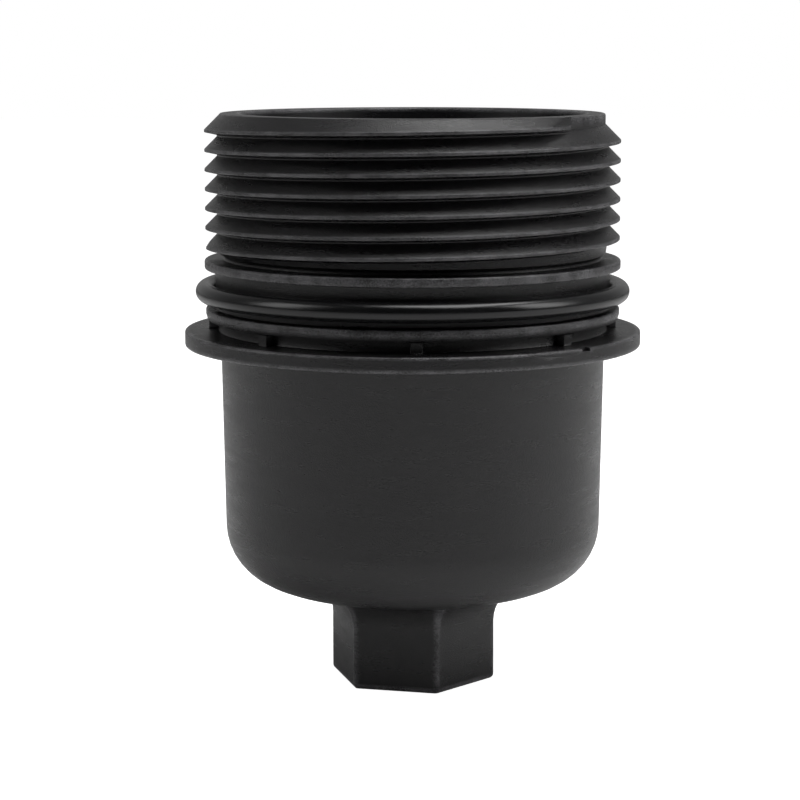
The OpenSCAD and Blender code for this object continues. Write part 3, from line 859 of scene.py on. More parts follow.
class Slot(Enum):
    """The record's material slots."""

    CAP_PLASTIC = "cap_plastic"
    SEAL_RUBBER = "seal_rubber"
    CORE_PLASTIC = "core_plastic"
    SPRING_STEEL = "spring_steel"
    SEAT_BRASS = "seat_brass"
    VALVE_PLASTIC = "valve_plastic"
    FILTER_PAPER = "filter_paper"
    CLIP_STEEL = "clip_steel"
    PLATE_PLASTIC = "plate_plastic"
    GLUE = "glue"
    BEAD_GLUE = "bead_glue"


FINISHES = {
    # The cap's pale scuffed-edge colour paints the highlights that the lamps put on its thread crests and
    # rounded edges.
    Slot.CAP_PLASTIC: Finish(
        "charcoal_moulding", "#100f11", "#1a191a", 0.3, specular=0.5, grain_mm=0.25,
        grain_depth_mm=0.028, worn_and_highlit="#8f8e91", wear_and_highlight_amount=0.42, speck_mm=0.3,
    ),
    Slot.SEAL_RUBBER: Finish(
        "seal_rubber_black", "#0b0b0c", "#141415", 0.22, grain_mm=0.12, grain_depth_mm=0.004,
        pit_tone=0.15, cloud_mm=14, rough_spread=0.1,
    ),
    Slot.CORE_PLASTIC: Finish(
        "core_moulding", "#303133", "#3e3f42", 0.45, grain_mm=0.3, worn_and_highlit="#7c7d80", wear_and_highlight_amount=0.4,
    ),
    Slot.SPRING_STEEL: DrawnMetal(
        "spring_wire", "#a3a6aa", "#c3c6ca", 0.28, metal=1.0, grain_mm=0.1, grain_depth_mm=0.002,
    ),
    Slot.SEAT_BRASS: DrawnMetal(
        "turned_brass", "#b08f45", "#cdb06a", 0.3, metal=1.0, grain_mm=0.1, grain_depth_mm=0.003,
    ),
    Slot.VALVE_PLASTIC: Finish(
        "valve_moulding", "#d3cfc2", "#e6e3d8", 0.42, grain_mm=0.3, worn_and_highlit="#f3f1ea", wear_and_highlight_amount=0.3,
    ),
    Slot.FILTER_PAPER: PaperFinish(
        "pleated_paper", "#c9a967", "#e2c98e", 0.85, specular=0.25, grain_mm=0.18,
        grain_depth_mm=0.03, pit_tone=0.5,
    ),
    Slot.CLIP_STEEL: DrawnMetal(
        "tinned_strip", "#9fa2a5", "#bcbfc2", 0.36, metal=1.0, grain_mm=0.2, grain_depth_mm=0.003,
    ),
    Slot.PLATE_PLASTIC: Finish(
        "plate_moulding", "#26313a", "#33404b", 0.46, grain_mm=0.3, worn_and_highlit="#71808c", wear_and_highlight_amount=0.5,
    ),
    Slot.GLUE: Finish(
        "plate_glue", "#b9b19b", "#d3ccb8", 0.38, grain_mm=0.8, grain_depth_mm=0.05, swell=0.8,
    ),
    Slot.BEAD_GLUE: Finish(
        "hot_glue", "#ddd8c6", "#efecdf", 0.3, grain_mm=0.9, grain_depth_mm=0.05, swell=0.8,
    ),
}


@dataclass
class Workshop:
    """What every sub-assembly uses: the finishes and the shared geometry trees."""

    materials: dict[Slot, bpy.types.Material]
    helix: HelixSweep
    ring: RingOfCopies
    pieces: int = 0

    @classmethod
    def open(cls) -> "Workshop":
        """Builds the materials and the trees."""
        effects = SharedEffects()
        materials = {slot: finish.material(effects) for slot, finish in FINISHES.items()}
        return cls(materials, HelixSweep(), RingOfCopies())

    def hand_over(
        self,
        mesh: bpy.types.Mesh,
        body: str,
        slot: Slot,
        node: str,
        sharp_deg: float = 38.0,
    ) -> bpy.types.Object:
        """Makes a finished mesh the visible piece for a CAD node.

        Args:
            mesh: the piece's mesh, in metres and in place.
            body: the CAD body that it rides on.
            slot: its material slot.
            node: the CAD node that it stands for; the piece is named after it.
            sharp_deg: edges that turn more than this stay sharp in shading.

        Returns:
            The piece.
        """
        mesh.materials.clear()
        mesh.materials.append(self.materials[slot])
        mesh.shade_smooth()
        mesh.set_sharp_from_angle(angle=math.radians(sharp_deg))
        piece = bpy.data.objects.new(f"{node}_skin", mesh)
        bpy.context.scene.collection.objects.link(piece)
        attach(piece, body)
        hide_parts(node)
        self.pieces += 1
        LOG.info("%s on %s: %d faces, %s", piece.name, body, len(mesh.polygons), slot.value)
        return piece

    @staticmethod
    def bevelled(
        mesh: bpy.types.Mesh, width_mm: float, angle_deg: float = 45.0, segments: int = 2
    ) -> bpy.types.Mesh:
        """Rounds a mesh's sharp edges and returns it as a plain mesh."""
        holder = bpy.data.objects.new("bevel_holder", mesh)
        bpy.context.scene.collection.objects.link(holder)
        bevel = holder.modifiers.new("bevel", "BEVEL")
        bevel.width = width_mm * MM
        bevel.segments = segments
        bevel.limit_method = "ANGLE"
        bevel.angle_limit = math.radians(angle_deg)
        result = finished_mesh(holder)
        bpy.data.objects.remove(holder)
        return result


# --- Cap -------------------------------------------------------------------------------------


@dataclass
class HousingCap:
    """The screw-in cap: wrench hexagon, bowl, flange, seal seat, thread and mouth."""

    flange_r: float
    rim_z: float
    hex_apothem: float = 13.5
    hex_h: float = 18.4
    hex_turn: float = -13.3
    hex_round: float = 0.6
    flare_r: float = 7.2
    dish_r: float = 9.0
    dish_h: float = 1.2
    bowl_r: float = 35.2
    bowl_low_r: float = 34.5
    bowl_corner_r: float = 11.1
    wall_t: float = 3.2
    flange_z: float = 62.9
    seat_z: float = 65.7
    notch_turn: float = -44.3
    notch_w: float = 2.1
    notch_depth: float = 0.6
    notch_reach: float = 1.1
    relief_r: float = 35.6
    rib_r: float = 37.4
    rib_w: float = 2.2
    rib_count: int = 8
    rib_turn: float = -89.0
    land_z: float = 67.8
    land_r: float = 37.9
    groove_z: float = 69.8
    groove_r: float = 36.1
    collar_z: float = 77.0
    collar_r: float = 38.05
    neck_z: float = 78.6
    neck_r: float = 34.4
    crest_r: float = 37.85
    crest_w: float = 0.45
    pitch: float = 3.5
    load_angle: float = 12.0
    back_angle: float = 45.0
    thread_turn: float = -49.5
    pilot_h: float = 1.93
    turned_deg: float = 2295.0
    run_in_steps: int = 9
    run_out_steps: int = 9
    rim_fillet: float = 0.35
    wear_and_highlight_reach: float = 0.35
    pilot_r: float = 35.0
    mouth_r: float = 31.4
    socket_r: float = 8.05
    socket_z: float = 8.6

    @classmethod
    def from_frame(cls) -> "HousingCap":
        """Takes the flange's radius and the rim's height from the CAD cap's box."""
        low, high = box_mm("cap_body")
        return cls(flange_r=float(min(high[0], -low[0])), rim_z=float(high[2]))

    @property
    def step_deg(self) -> float:
        """Angle between two columns."""
        return 360 / COLUMNS

    @property
    def columns(self) -> np.ndarray:
        """Angle of each column in degrees; the thread's end lies on one."""
        return self.thread_turn + self.step_deg * np.arange(COLUMNS)

    def warped(self, anchors: dict[int, float]) -> np.ndarray:
        """Column angles that pass through the anchors, given as column to angle in degrees."""
        keys = sorted(anchors)
        wrapped = [keys[-1] - COLUMNS, *keys, keys[0] + COLUMNS]
        angles = [anchors[keys[-1]] - 360, *(anchors[k] for k in keys), anchors[keys[0]] + 360]
        return np.interp(np.arange(COLUMNS), wrapped, angles)

    def nearest(self, turn: float) -> tuple[int, float]:
        """The column nearest to a direction, and that direction in the columns' own turn."""
        ahead = (turn - self.thread_turn) % 360
        return round(ahead / self.step_deg), self.thread_turn + ahead

    def hexagon_row(self, apothem: float, z: float, wear_and_highlight: float) -> tuple[np.ndarray, np.ndarray]:
        """One ring of the hexagon, with columns gathered in its rounded corners.

        Args:
            apothem: distance from the axis to a side.
            z: height.
            wear_and_highlight: scuffing and painted highlight on the ring; corners always get both.

        Returns:
            Points, and the scuffed-edge and painted highlight mask.
        """
        rounding = self.hex_round + 0.45 * (apothem - min(apothem, self.hex_apothem))
        reach = (apothem - rounding) / math.cos(math.radians(30))
        limit = math.degrees(math.atan2(rounding * 0.5, reach + rounding * math.cos(math.radians(30))))
        in_corner = 4
        anchors: dict[int, float] = {}
        corners = []
        for k in range(6):
            column, turn = self.nearest(self.hex_turn + 60 * k)
            anchors[column - in_corner] = turn - limit
            anchors[column] = turn
            anchors[column + in_corner] = turn + limit
            corners.append(turn)
        angles = self.warped(anchors)
        off = np.min([np.abs((angles - c + 180) % 360 - 180) for c in corners], axis=0)
        rad = np.radians(off)
        inside = np.sqrt(np.maximum(rounding**2 - (reach * np.sin(rad)) ** 2, 0.0))
        corner = reach * np.cos(rad) + inside
        flat = apothem / np.cos(np.radians(30) - rad)
        in_arc = off <= limit + 1e-6
        r = np.where(in_arc, corner, flat)
        edge = np.clip(1 - np.maximum(off - limit, 0) / 2.0, 0, 1)
        return place(r, np.radians(angles), np.array(z)), np.maximum(edge * 0.9, wear_and_highlight)

    def rows(self, outline: Outline) -> tuple[np.ndarray, np.ndarray]:
        """Rings on the plain columns for an outline."""
        angles = np.radians(self.columns)
        points = place(outline.points[:, None, 0], angles[None, :], outline.points[:, None, 1])
        return points, np.repeat(outline.wear_and_highlight[:, None], COLUMNS, axis=1)

    def hexagon(self) -> tuple[np.ndarray, np.ndarray]:
        """Rings from the dish in the hexagon's end to the edge of the bowl's floor."""
        dish = Outline.rounded(
            [Corner(0, self.dish_h), Corner(self.dish_r, self.dish_h, 0.4),
             Corner(self.dish_r + 0.15, 0, 0.3), Corner(self.dish_r + 1.2, 0)],
            closed=False,
        )
        points, wear_and_highlight = self.rows(dish)
        side = self.hex_apothem
        profile = Outline.rounded(
            [Corner(side - 2.4, 0), Corner(side, 0, 0.8), Corner(side, self.hex_h, self.flare_r),
             Corner(side + self.flare_r + 0.4, self.hex_h)],
            closed=False,
        )
        rings = [self.hexagon_row(r, z, w) for (r, z), w in zip(profile.points[:-1], profile.wear_and_highlight)]
        hex_points = np.stack([ring[0] for ring in rings])
        hex_wear_and_highlight = np.stack([ring[1] for ring in rings])
        return np.concatenate([points, hex_points]), np.concatenate([wear_and_highlight, hex_wear_and_highlight])

    def bowl(self) -> tuple[np.ndarray, np.ndarray]:
        """Rings of the bowl and the flange, with the index notch let into the flange."""
        floor_z = self.seat_z - self.notch_depth
        wall_r = self.flange_r - self.notch_reach
        split = 0.02
        outline = Outline.rounded(
            [Corner(self.bowl_low_r - self.bowl_corner_r, self.hex_h),
             Corner(self.bowl_low_r, self.hex_h, self.bowl_corner_r),
             Corner(self.bowl_r, self.flange_z, 0.5),
             Corner(self.flange_r, self.flange_z, 0.4),
             Corner(self.flange_r, floor_z - split),
             Corner(self.flange_r, floor_z + split),
             Corner(self.flange_r, self.seat_z, 0.35),
             Corner(wall_r + split, self.seat_z),
             Corner(wall_r - split, self.seat_z),
             Corner(self.rib_r + 1.2, self.seat_z)],
            closed=False,
        )
        points, wear_and_highlight = self.rows(outline)
        column, turn = self.nearest(self.notch_turn)
        half = math.degrees(self.notch_w / 2 / self.flange_r)
        gap = 0.03
        anchors = {column: turn, (column + COLUMNS // 2) % COLUMNS: self.nearest(turn + 180)[1]}
        for side in (-1, 1):
            anchors[column + side] = turn + side * (half - gap)
            anchors[column + 2 * side] = turn + side * (half + gap)
            anchors[column + 12 * side] = turn + side * 12 * self.step_deg
        angles = np.radians(self.warped(anchors))
        inside = np.zeros(COLUMNS, bool)
        inside[[column - 1, column, column + 1]] = True
        for i, (r, z) in enumerate(outline.points):
            if z >= floor_z - 2 * split and r >= wall_r - 2 * split:
                heights = np.where(inside & (r > wall_r), min(z, floor_z), z)
                points[i] = place(np.array(r), angles, heights)
                wear_and_highlight[i] = np.maximum(wear_and_highlight[i], np.where(np.abs(np.arange(COLUMNS) - column) == 2, 0.8, 0))
        return points, wear_and_highlight

    def relief(self) -> tuple[np.ndarray, np.ndarray]:
        """Rings of the relief over the flange, with the short ribs that cross it."""
        half = math.degrees(self.rib_w / 2 / self.rib_r)
        bevel, gap = 0.23, 0.04
        anchors: dict[int, float] = {}
        radius_share = np.zeros(COLUMNS)
        edge = np.zeros(COLUMNS)
        for k in range(self.rib_count):
            column, turn = self.nearest(self.rib_turn + k * 360 / self.rib_count)
            anchors[column] = turn
            for side in (-1, 1):
                anchors[column + side] = turn + side * (half - bevel)
                anchors[column + 2 * side] = turn + side * half
                anchors[column + 3 * side] = turn + side * (half + gap)
                edge[(column + 2 * side) % COLUMNS] = 1.0
            inner = [(column + j) % COLUMNS for j in (-1, 0, 1)]
            outer = [(column + j) % COLUMNS for j in (-2, 2)]
            radius_share[inner] = 1.0
            radius_share[outer] = 1 - bevel / 1.8
        angles = np.radians(self.warped(anchors))
        depth = self.rib_r - self.relief_r
        root = 0.3
        rings, worn_and_highlit = [], []
        for out, z, weight in (
            (root, self.seat_z, 0.0),
            (root * 0.3, self.seat_z + root * 0.3, 0.0),
            (0.0, self.seat_z + root, 1.0),
            (0.0, self.land_z - root, 1.0),
            (root * 0.3, self.land_z - root * 0.3, 0.0),
            (root, self.land_z, 0.0),
        ):
            own_r = self.relief_r + radius_share * depth
            r = np.minimum(own_r + out, self.rib_r + 0.5 * out)
            rings.append(place(r, angles, np.array(z)))
            worn_and_highlit.append(edge * weight)
        return np.stack(rings), np.stack(worn_and_highlit)

    def seal_seat(self) -> tuple[np.ndarray, np.ndarray]:
        """Rings of the land, the seal groove, the collar and the neck, up to the thread's root."""
        outline = Outline.rounded(
            [Corner(self.rib_r + 0.2, self.land_z + 0.02),
             Corner(self.rib_r + 0.25, self.land_z + 0.1),
             Corner(self.land_r, self.land_z + 1.0, 0.2),
             Corner(self.land_r, self.groove_z, 0.3),
             Corner(self.groove_r, self.groove_z, 0.35),
             Corner(self.groove_r, self.collar_z, 0.35),
             Corner(self.collar_r, self.collar_z, 0.25),
             Corner(self.collar_r, self.neck_z, 0.35),
             Corner(self.neck_r, self.neck_z, 0.35),
             Corner(self.neck_r, self.neck_z + 0.6, 0.15),
             Corner(self.root_r, self.neck_z + 1.15)],
            closed=False,
        )
        return self.rows(outline)

    def inside(self) -> tuple[np.ndarray, np.ndarray]:
        """Rings from the rim's outer edge over the mouth and down to the socket's floor."""
        floor_z = self.hex_h + self.wall_t
        lock_z, lock_r = 15.05, self.socket_r + 0.8
        outline = Outline.rounded(
            [Corner(self.pilot_r - self.rim_fillet, self.rim_z),
             Corner(self.mouth_r, self.rim_z, 0.45),
             Corner(self.mouth_r, self.flange_z, 2.0),
             Corner(self.bowl_low_r - self.wall_t, self.flange_z - 8),
             Corner(self.bowl_low_r - self.wall_t, floor_z, self.bowl_corner_r - self.wall_t),
             Corner(self.socket_r, floor_z, 0.3),
             Corner(self.socket_r, lock_z + 1.3, 0.1),
             Corner(lock_r, lock_z + 1.3, 0.1),
             Corner(lock_r, lock_z, 0.1),
             Corner(self.socket_r, lock_z, 0.1),
             Corner(self.socket_r, self.socket_z, 0.4),
             Corner(0, self.socket_z)],
            closed=False,
        )
        return self.rows(outline)

    @property
    def root_r(self) -> float:
        """Radius of the V between two turns."""
        flanks = math.tan(math.radians(self.back_angle)) + math.tan(math.radians(self.load_angle))
        return self.crest_r - (self.pitch - self.crest_w) / flanks

    def thread_section(self) -> tuple[np.ndarray, np.ndarray, np.ndarray]:
        """One turn of the ridge, from the middle of one root to the middle of the next.

        Returns:
            Points, the points of the last turn, whose back flank runs on straight, and the scuffed-edge and
            painted highlight mask.
        """
        drop = (self.crest_r - self.root_r) * math.tan(math.radians(self.load_angle))
        low = -self.crest_w / 2
        high = self.crest_w / 2
        root = np.array([self.root_r, low - drop])
        crest_low, crest_high = np.array([self.crest_r, low]), np.array([self.crest_r, high])
        rise = np.array([0.0, self.pitch])
        root_arc, _ = Outline.arc(crest_high - rise, root, crest_low, 0.22)
        low_arc, _ = Outline.arc(root, crest_low, crest_high, 0.1)
        high_arc, _ = Outline.arc(crest_low, crest_high, root + rise, 0.16)
        middle = len(root_arc) // 2
        up = self._flank(root_arc[-1], low_arc[0], 4)
        back = self._flank(high_arc[-1], root_arc[0] + rise, 9)
        head = [*root_arc[middle:], *up, *low_arc, *high_arc, *back]
        tail = list(root_arc[: middle + 1] + rise)
        foot, reach = root_arc[0] + rise, root + rise - root_arc[0] - rise
        straight = [foot + reach * share for share in np.linspace(0, 1, middle + 1)]
        wear_and_highlight = np.zeros(len(head) + len(tail))
        first_worn_and_highlit = len(root_arc) - middle + len(up)
        wear_and_highlight[first_worn_and_highlit : first_worn_and_highlit + len(low_arc) + len(high_arc)] = 1.0
        return np.array([*head, *tail]), np.array([*head, *straight]), wear_and_highlight

    def _flank(self, start: np.ndarray, end: np.ndarray, parts: int) -> list[np.ndarray]:
        """Points along a flank, the first and the last close to its ends."""
        inset = self.wear_and_highlight_reach / float(np.linalg.norm(end - start))
        return [start + (end - start) * share for share in np.linspace(inset, 1 - inset, parts)]

    def thread(self, workshop: Workshop) -> bpy.types.Mesh:
        """Sweeps the thread's ridge, with its run-in and its run-out."""
        section, plain, wear_and_highlight = self.thread_section()
        steps = round(self.turned_deg / self.step_deg) + self.run_out_steps - 2
        last_crest_z = self.rim_z - self.pilot_h
        start_z = last_crest_z - self.turned_deg / 360 * self.pitch
        values = {
            "Steps": steps,
            "Steps per turn": COLUMNS,
            "Pitch": self.pitch * MM,
            "Start angle": math.radians(self.thread_turn - self.turned_deg),
            "Start height": start_z * MM,
            "Level steps": 0,
            "Crest radius": self.crest_r * MM,
            "Start radius": (self.root_r + 0.35) * MM,
            "End radius": (self.pilot_r + 0.25) * MM,
            "Run-in steps": self.run_in_steps,
            "Run-out steps": self.run_out_steps,
            "Root radius": float(section[0, 0]) * MM,
            "Back slope": math.tan(math.radians(self.back_angle)),
            "Top height": self.rim_z * MM,
            "Shared root": True,
            "Material": workshop.materials[Slot.CAP_PLASTIC],
        }
        return workshop.helix.make(section, plain, wear_and_highlight, values)

    def join_thread(self, draft: MeshDraft, thread: bpy.types.Mesh, ring: np.ndarray) -> None:
        """Closes the thread to the neck below it, to the rim above it and at its two ends.

        Args:
            draft: the cap's draft.
            thread: the swept ridge.
            ring: the neck's uppermost ring, on the plain columns.
        """
        across = len(self.thread_section()[0])
        swept = draft.add_mesh(thread).reshape(-1, across, 3)
        first_column = self.nearest(self.thread_turn - self.turned_deg)[0]
        order = (first_column + np.arange(COLUMNS + 1)) % COLUMNS
        root = swept[: COLUMNS + 1, 0]
        draft.add_grid(np.stack([ring[order[:-1]], root[:-1]]))
        draft.add_polygon(np.array([ring[order[-2]], ring[order[-1]], root[0], root[-1], root[-2]]))
        draft.add_polygon(swept[0])

        top = swept[-COLUMNS - 1 :, -1]
        last = len(swept) - 1
        turned = self.step_deg * np.arange(last - COLUMNS, last + 1) - self.turned_deg
        angle = np.radians(self.thread_turn + turned)
        foot_z = np.minimum(top[:, 2] + (np.hypot(top[:, 0], top[:, 1]) - self.pilot_r), self.rim_z)
        fillet = np.minimum(self.rim_fillet, self.rim_z - foot_z)
        rows = [top, place(np.array(self.pilot_r), angle, foot_z)]
        worn_and_highlit = [np.zeros(COLUMNS + 1), np.zeros(COLUMNS + 1)]
        for share in (0.0, 0.5, 1.0):
            a = math.radians(90 * share)
            r = self.pilot_r - fillet * (1 - math.cos(a))
            rows.append(place(r, angle, self.rim_z - fillet * (1 - math.sin(a))))
            worn_and_highlit.append(np.ones(COLUMNS + 1))
        rows.append(place(np.array(self.pilot_r - self.rim_fillet), angle, np.array(self.rim_z)))
        worn_and_highlit.append(np.zeros(COLUMNS + 1))
        draft.add_grid(np.stack(rows), np.stack(worn_and_highlit))
        end = [*swept[-1], rows[1][-1], *[row[0] for row in rows[:0:-1]]]
        draft.add_polygon(np.array(end))

    def body_mesh(self, workshop: Workshop) -> bpy.types.Mesh:
        """The whole cap as one closed mesh."""
        draft = MeshDraft()
        parts = [self.hexagon(), self.bowl(), self.relief(), self.seal_seat()]
        points = np.concatenate([p for p, _ in parts])
        wear_and_highlight = np.concatenate([w for _, w in parts])
        draft.add_grid(points, wear_and_highlight, wrap=True)
        self.join_thread(draft, self.thread(workshop), points[-1])
        inner_points, inner_wear = self.inside()
        draft.add_grid(inner_points, inner_wear, wrap=True)
        return draft.mesh("cap_body_skin")

    def build(self, workshop: Workshop) -> None:
        """Builds the cap and its seal."""
        workshop.hand_over(self.body_mesh(workshop), "cap", Slot.CAP_PLASTIC, "cap_body")
        low, high = box_mm("cap_o_ring")
        section = float(high[2] - low[2])
        seal = Outline.circle(float(high[0]) - section / 2, float(low[2] + high[2]) / 2, section, 36)
        mesh = MeshDraft().turn(seal, closed=True, columns=192).mesh("cap_o_ring_skin")
        workshop.hand_over(mesh, "cap", Slot.SEAL_RUBBER, "cap_o_ring")


# --- Support core and bypass valve -----------------------------------------------------------


@dataclass
class SupportCore:
    """The swivelling core: foot, ports, windowed tube and the tip that meets the engine."""

    top_z: float
    foot_z: float
    foot_r: float = 8.0
    base_r: float = 14.2
    base_z: float = 21.65
    port_z: float = 23.85
    stop_z: float = 28.05
    stop_r: float = 15.6
    seat_z: float = 29.65
    core_r: float = 13.0
    bore_r: float = 10.8
    throat_r: float = 9.8
    shoulder_z: float = 93.8
    tip_z: float = 96.3
    tip_r: float = 9.0
    outlet_r: float = 5.5
    groove_r: float = 7.5
    groove_z: float = 98.1
    groove_h: float = 2.4
    lock_z: float = 15.1
    lock_t: float = 1.2
    port_count: int = 4
    window_columns: int = 6
    window_w: float = 7.4
    window_rows: tuple[tuple[float, float], ...] = (
        (36.35, 48.35), (54.75, 62.03), (65.43, 72.72), (76.12, 83.4),
    )

    @classmethod
    def from_frame(cls) -> "SupportCore":
        """Takes the core's ends from the CAD core."""
        low, high = box_mm("support_core")
        return cls(top_z=float(high[2]), foot_z=float(low[2]))

    def outline(self) -> Outline:
        """The core's closed section, up its outside and down its bore."""
        outside = [
            Corner(0, self.foot_z), Corner(self.foot_r, self.foot_z, 0.9),
            Corner(self.foot_r, self.lock_z), Corner(self.foot_r - 0.8, self.lock_z),
            Corner(self.foot_r - 0.8, self.lock_z + self.lock_t),
            Corner(self.foot_r, self.lock_z + self.lock_t),
            Corner(self.foot_r, self.base_z, 0.3), Corner(self.base_r, self.base_z, 0.3),
            Corner(self.base_r, self.port_z - 0.3, 0.3), Corner(self.core_r, self.port_z - 0.3),
            Corner(self.core_r, self.port_z), Corner(self.core_r, self.stop_z),
            Corner(self.core_r, self.stop_z + 0.05), Corner(self.stop_r, self.stop_z + 0.05, 0.3),
            Corner(self.stop_r, self.seat_z, 0.3), Corner(self.core_r, self.seat_z, 0.2),
        ]
        for low, high in self.window_rows:
            outside += [Corner(self.core_r, low), Corner(self.core_r, high)]
        outside += [
            Corner(self.core_r, self.shoulder_z, 0.6), Corner(self.tip_r + 1.5, self.tip_z, 0.3),
            Corner(self.tip_r, self.tip_z, 0.2), Corner(self.tip_r, self.groove_z, 0.15),
            Corner(self.groove_r, self.groove_z, 0.15),
            Corner(self.groove_r, self.groove_z + self.groove_h, 0.15),
            Corner(self.tip_r, self.groove_z + self.groove_h, 0.15),
            Corner(self.tip_r, self.top_z, 0.8), Corner(self.outlet_r, self.top_z, 0.4),
            Corner(self.outlet_r, self.tip_z, 0.4),
            Corner(self.bore_r, self.shoulder_z - 2.2, 0.4),
        ]
        for low, high in reversed(self.window_rows):
            outside += [Corner(self.bore_r, high), Corner(self.bore_r, low)]
        outside += [
            Corner(self.bore_r, self.seat_z), Corner(self.throat_r, self.seat_z),
            Corner(self.throat_r, self.stop_z), Corner(self.throat_r, self.port_z),
            Corner(0, self.port_z),
        ]
        return Outline.rounded(outside, closed=False)

    def body_mesh(self, workshop: Workshop) -> bpy.types.Mesh:
        """The core with its ports and windows cut through."""
        outline = self.outline()
        columns = 144
        port_deg = 2 * math.degrees(math.asin(self.throat_r / 2 / self.core_r))
        window_deg = 2 * math.degrees(math.asin(self.window_w / 2 / self.core_r))
        openings = [(self.port_z, self.stop_z, self.port_count, port_deg)]
        openings += [(low, high, self.window_columns, window_deg) for low, high in self.window_rows]
        points = np.zeros((len(outline.points), columns, 3))
        angles = {count: self._angles(count, wide, columns) for _, _, count, wide in openings}
        for i, (r, z) in enumerate(outline.points):
            count = self.port_count if z < (self.seat_z + self.window_rows[0][0]) / 2 else self.window_columns
            points[i] = place(np.array(r), angles[count], np.array(z))
        draft = MeshDraft()
        skip: set[tuple[int, int]] = set()
        for low, high, count, wide in openings:
            out_low, out_high, in_high, in_low = self._wall_rows(outline, low, high)
            per, half = columns // count, self._half_cells(wide, columns)
            for k in range(count):
                cells = [(k * per + j) % columns for j in range(-half, half)]
                skip |= {(out_low, j) for j in cells} | {(in_high, j) for j in cells}
                span = [(k * per + j) % columns for j in range(-half, half + 1)]
                outer = points[[out_low, out_high]][:, span]
                inner = points[[in_low, in_high]][:, span]
                frame_out = [*outer[0], *outer[1][::-1]]
                frame_in = [*inner[0], *inner[1][::-1]]
                loop = np.stack([np.array(frame_out), np.array(frame_in)])
                draft.add_grid(loop, wrap=True)
        wear_and_highlight = np.repeat(outline.wear_and_highlight[:, None], columns, axis=1)
        draft.add_grid(points, wear_and_highlight, wrap=True, skip=skip)
        return workshop.bevelled(draft.mesh("support_core_skin"), 0.25, 50)

    @staticmethod
    def _half_cells(wide_deg: float, columns: int) -> int:
        """Cells on each side of an opening's middle."""
        return max(2, round(wide_deg / 2 / 360 * columns))

    def _angles(self, count: int, wide_deg: float, columns: int) -> np.ndarray:
        """Column angles in radians that place an opening's sides on columns."""
        per, half = columns // count, self._half_cells(wide_deg, columns)
        share = 360 / count
        cells = [0, half, per - half, per]
        turns = [0, wide_deg / 2, share - wide_deg / 2, share]
        one = np.interp(np.arange(per), cells, turns)
        return np.radians(np.concatenate([one + k * share for k in range(count)]))

    @staticmethod
    def _wall_rows(outline: Outline, low: float, high: float) -> tuple[int, int, int, int]:
        """Rows of the outline at an opening's edges: outer low and high, then inner high and low."""
        at = [i for i, (_, z) in enumerate(outline.points) if abs(z - low) < 1e-6]
        up = [i for i, (_, z) in enumerate(outline.points) if abs(z - high) < 1e-6]
        out_low = next(i for i in at if i + 1 in up)
        in_high = next(i for i in up if i > out_low + 1 and i + 1 in at)
        return out_low, out_low + 1, in_high, in_high + 1

    def build(self, workshop: Workshop) -> None:
        """Builds the core, its lock ring and its tip seal."""
        workshop.hand_over(self.body_mesh(workshop), "core", Slot.CORE_PLASTIC, "support_core")
        low, high = box_mm("core_lock_ring")
        outer = float(high[1])
        ring = Outline.ring((self.foot_r - 0.77, outer), (low[2], high[2]), (0.15, 0.2, 0.2, 0.15))
        gap_deg = math.degrees(1.5 / self.foot_r)
        mesh = MeshDraft().turn(ring, closed=True, columns=120, span=(gap_deg, 360 - gap_deg))
        workshop.hand_over(mesh.mesh("lock_ring_skin"), "core", Slot.SPRING_STEEL, "core_lock_ring")
        low, high = box_mm("tip_o_ring")
        section = float(high[2] - low[2])
        seal = Outline.circle(float(high[0]) - section / 2, float(low[2] + high[2]) / 2, section)
        mesh = MeshDraft().turn(seal, closed=True, columns=96)
        workshop.hand_over(mesh.mesh("tip_seal_skin"), "core", Slot.SEAL_RUBBER, "tip_o_ring")


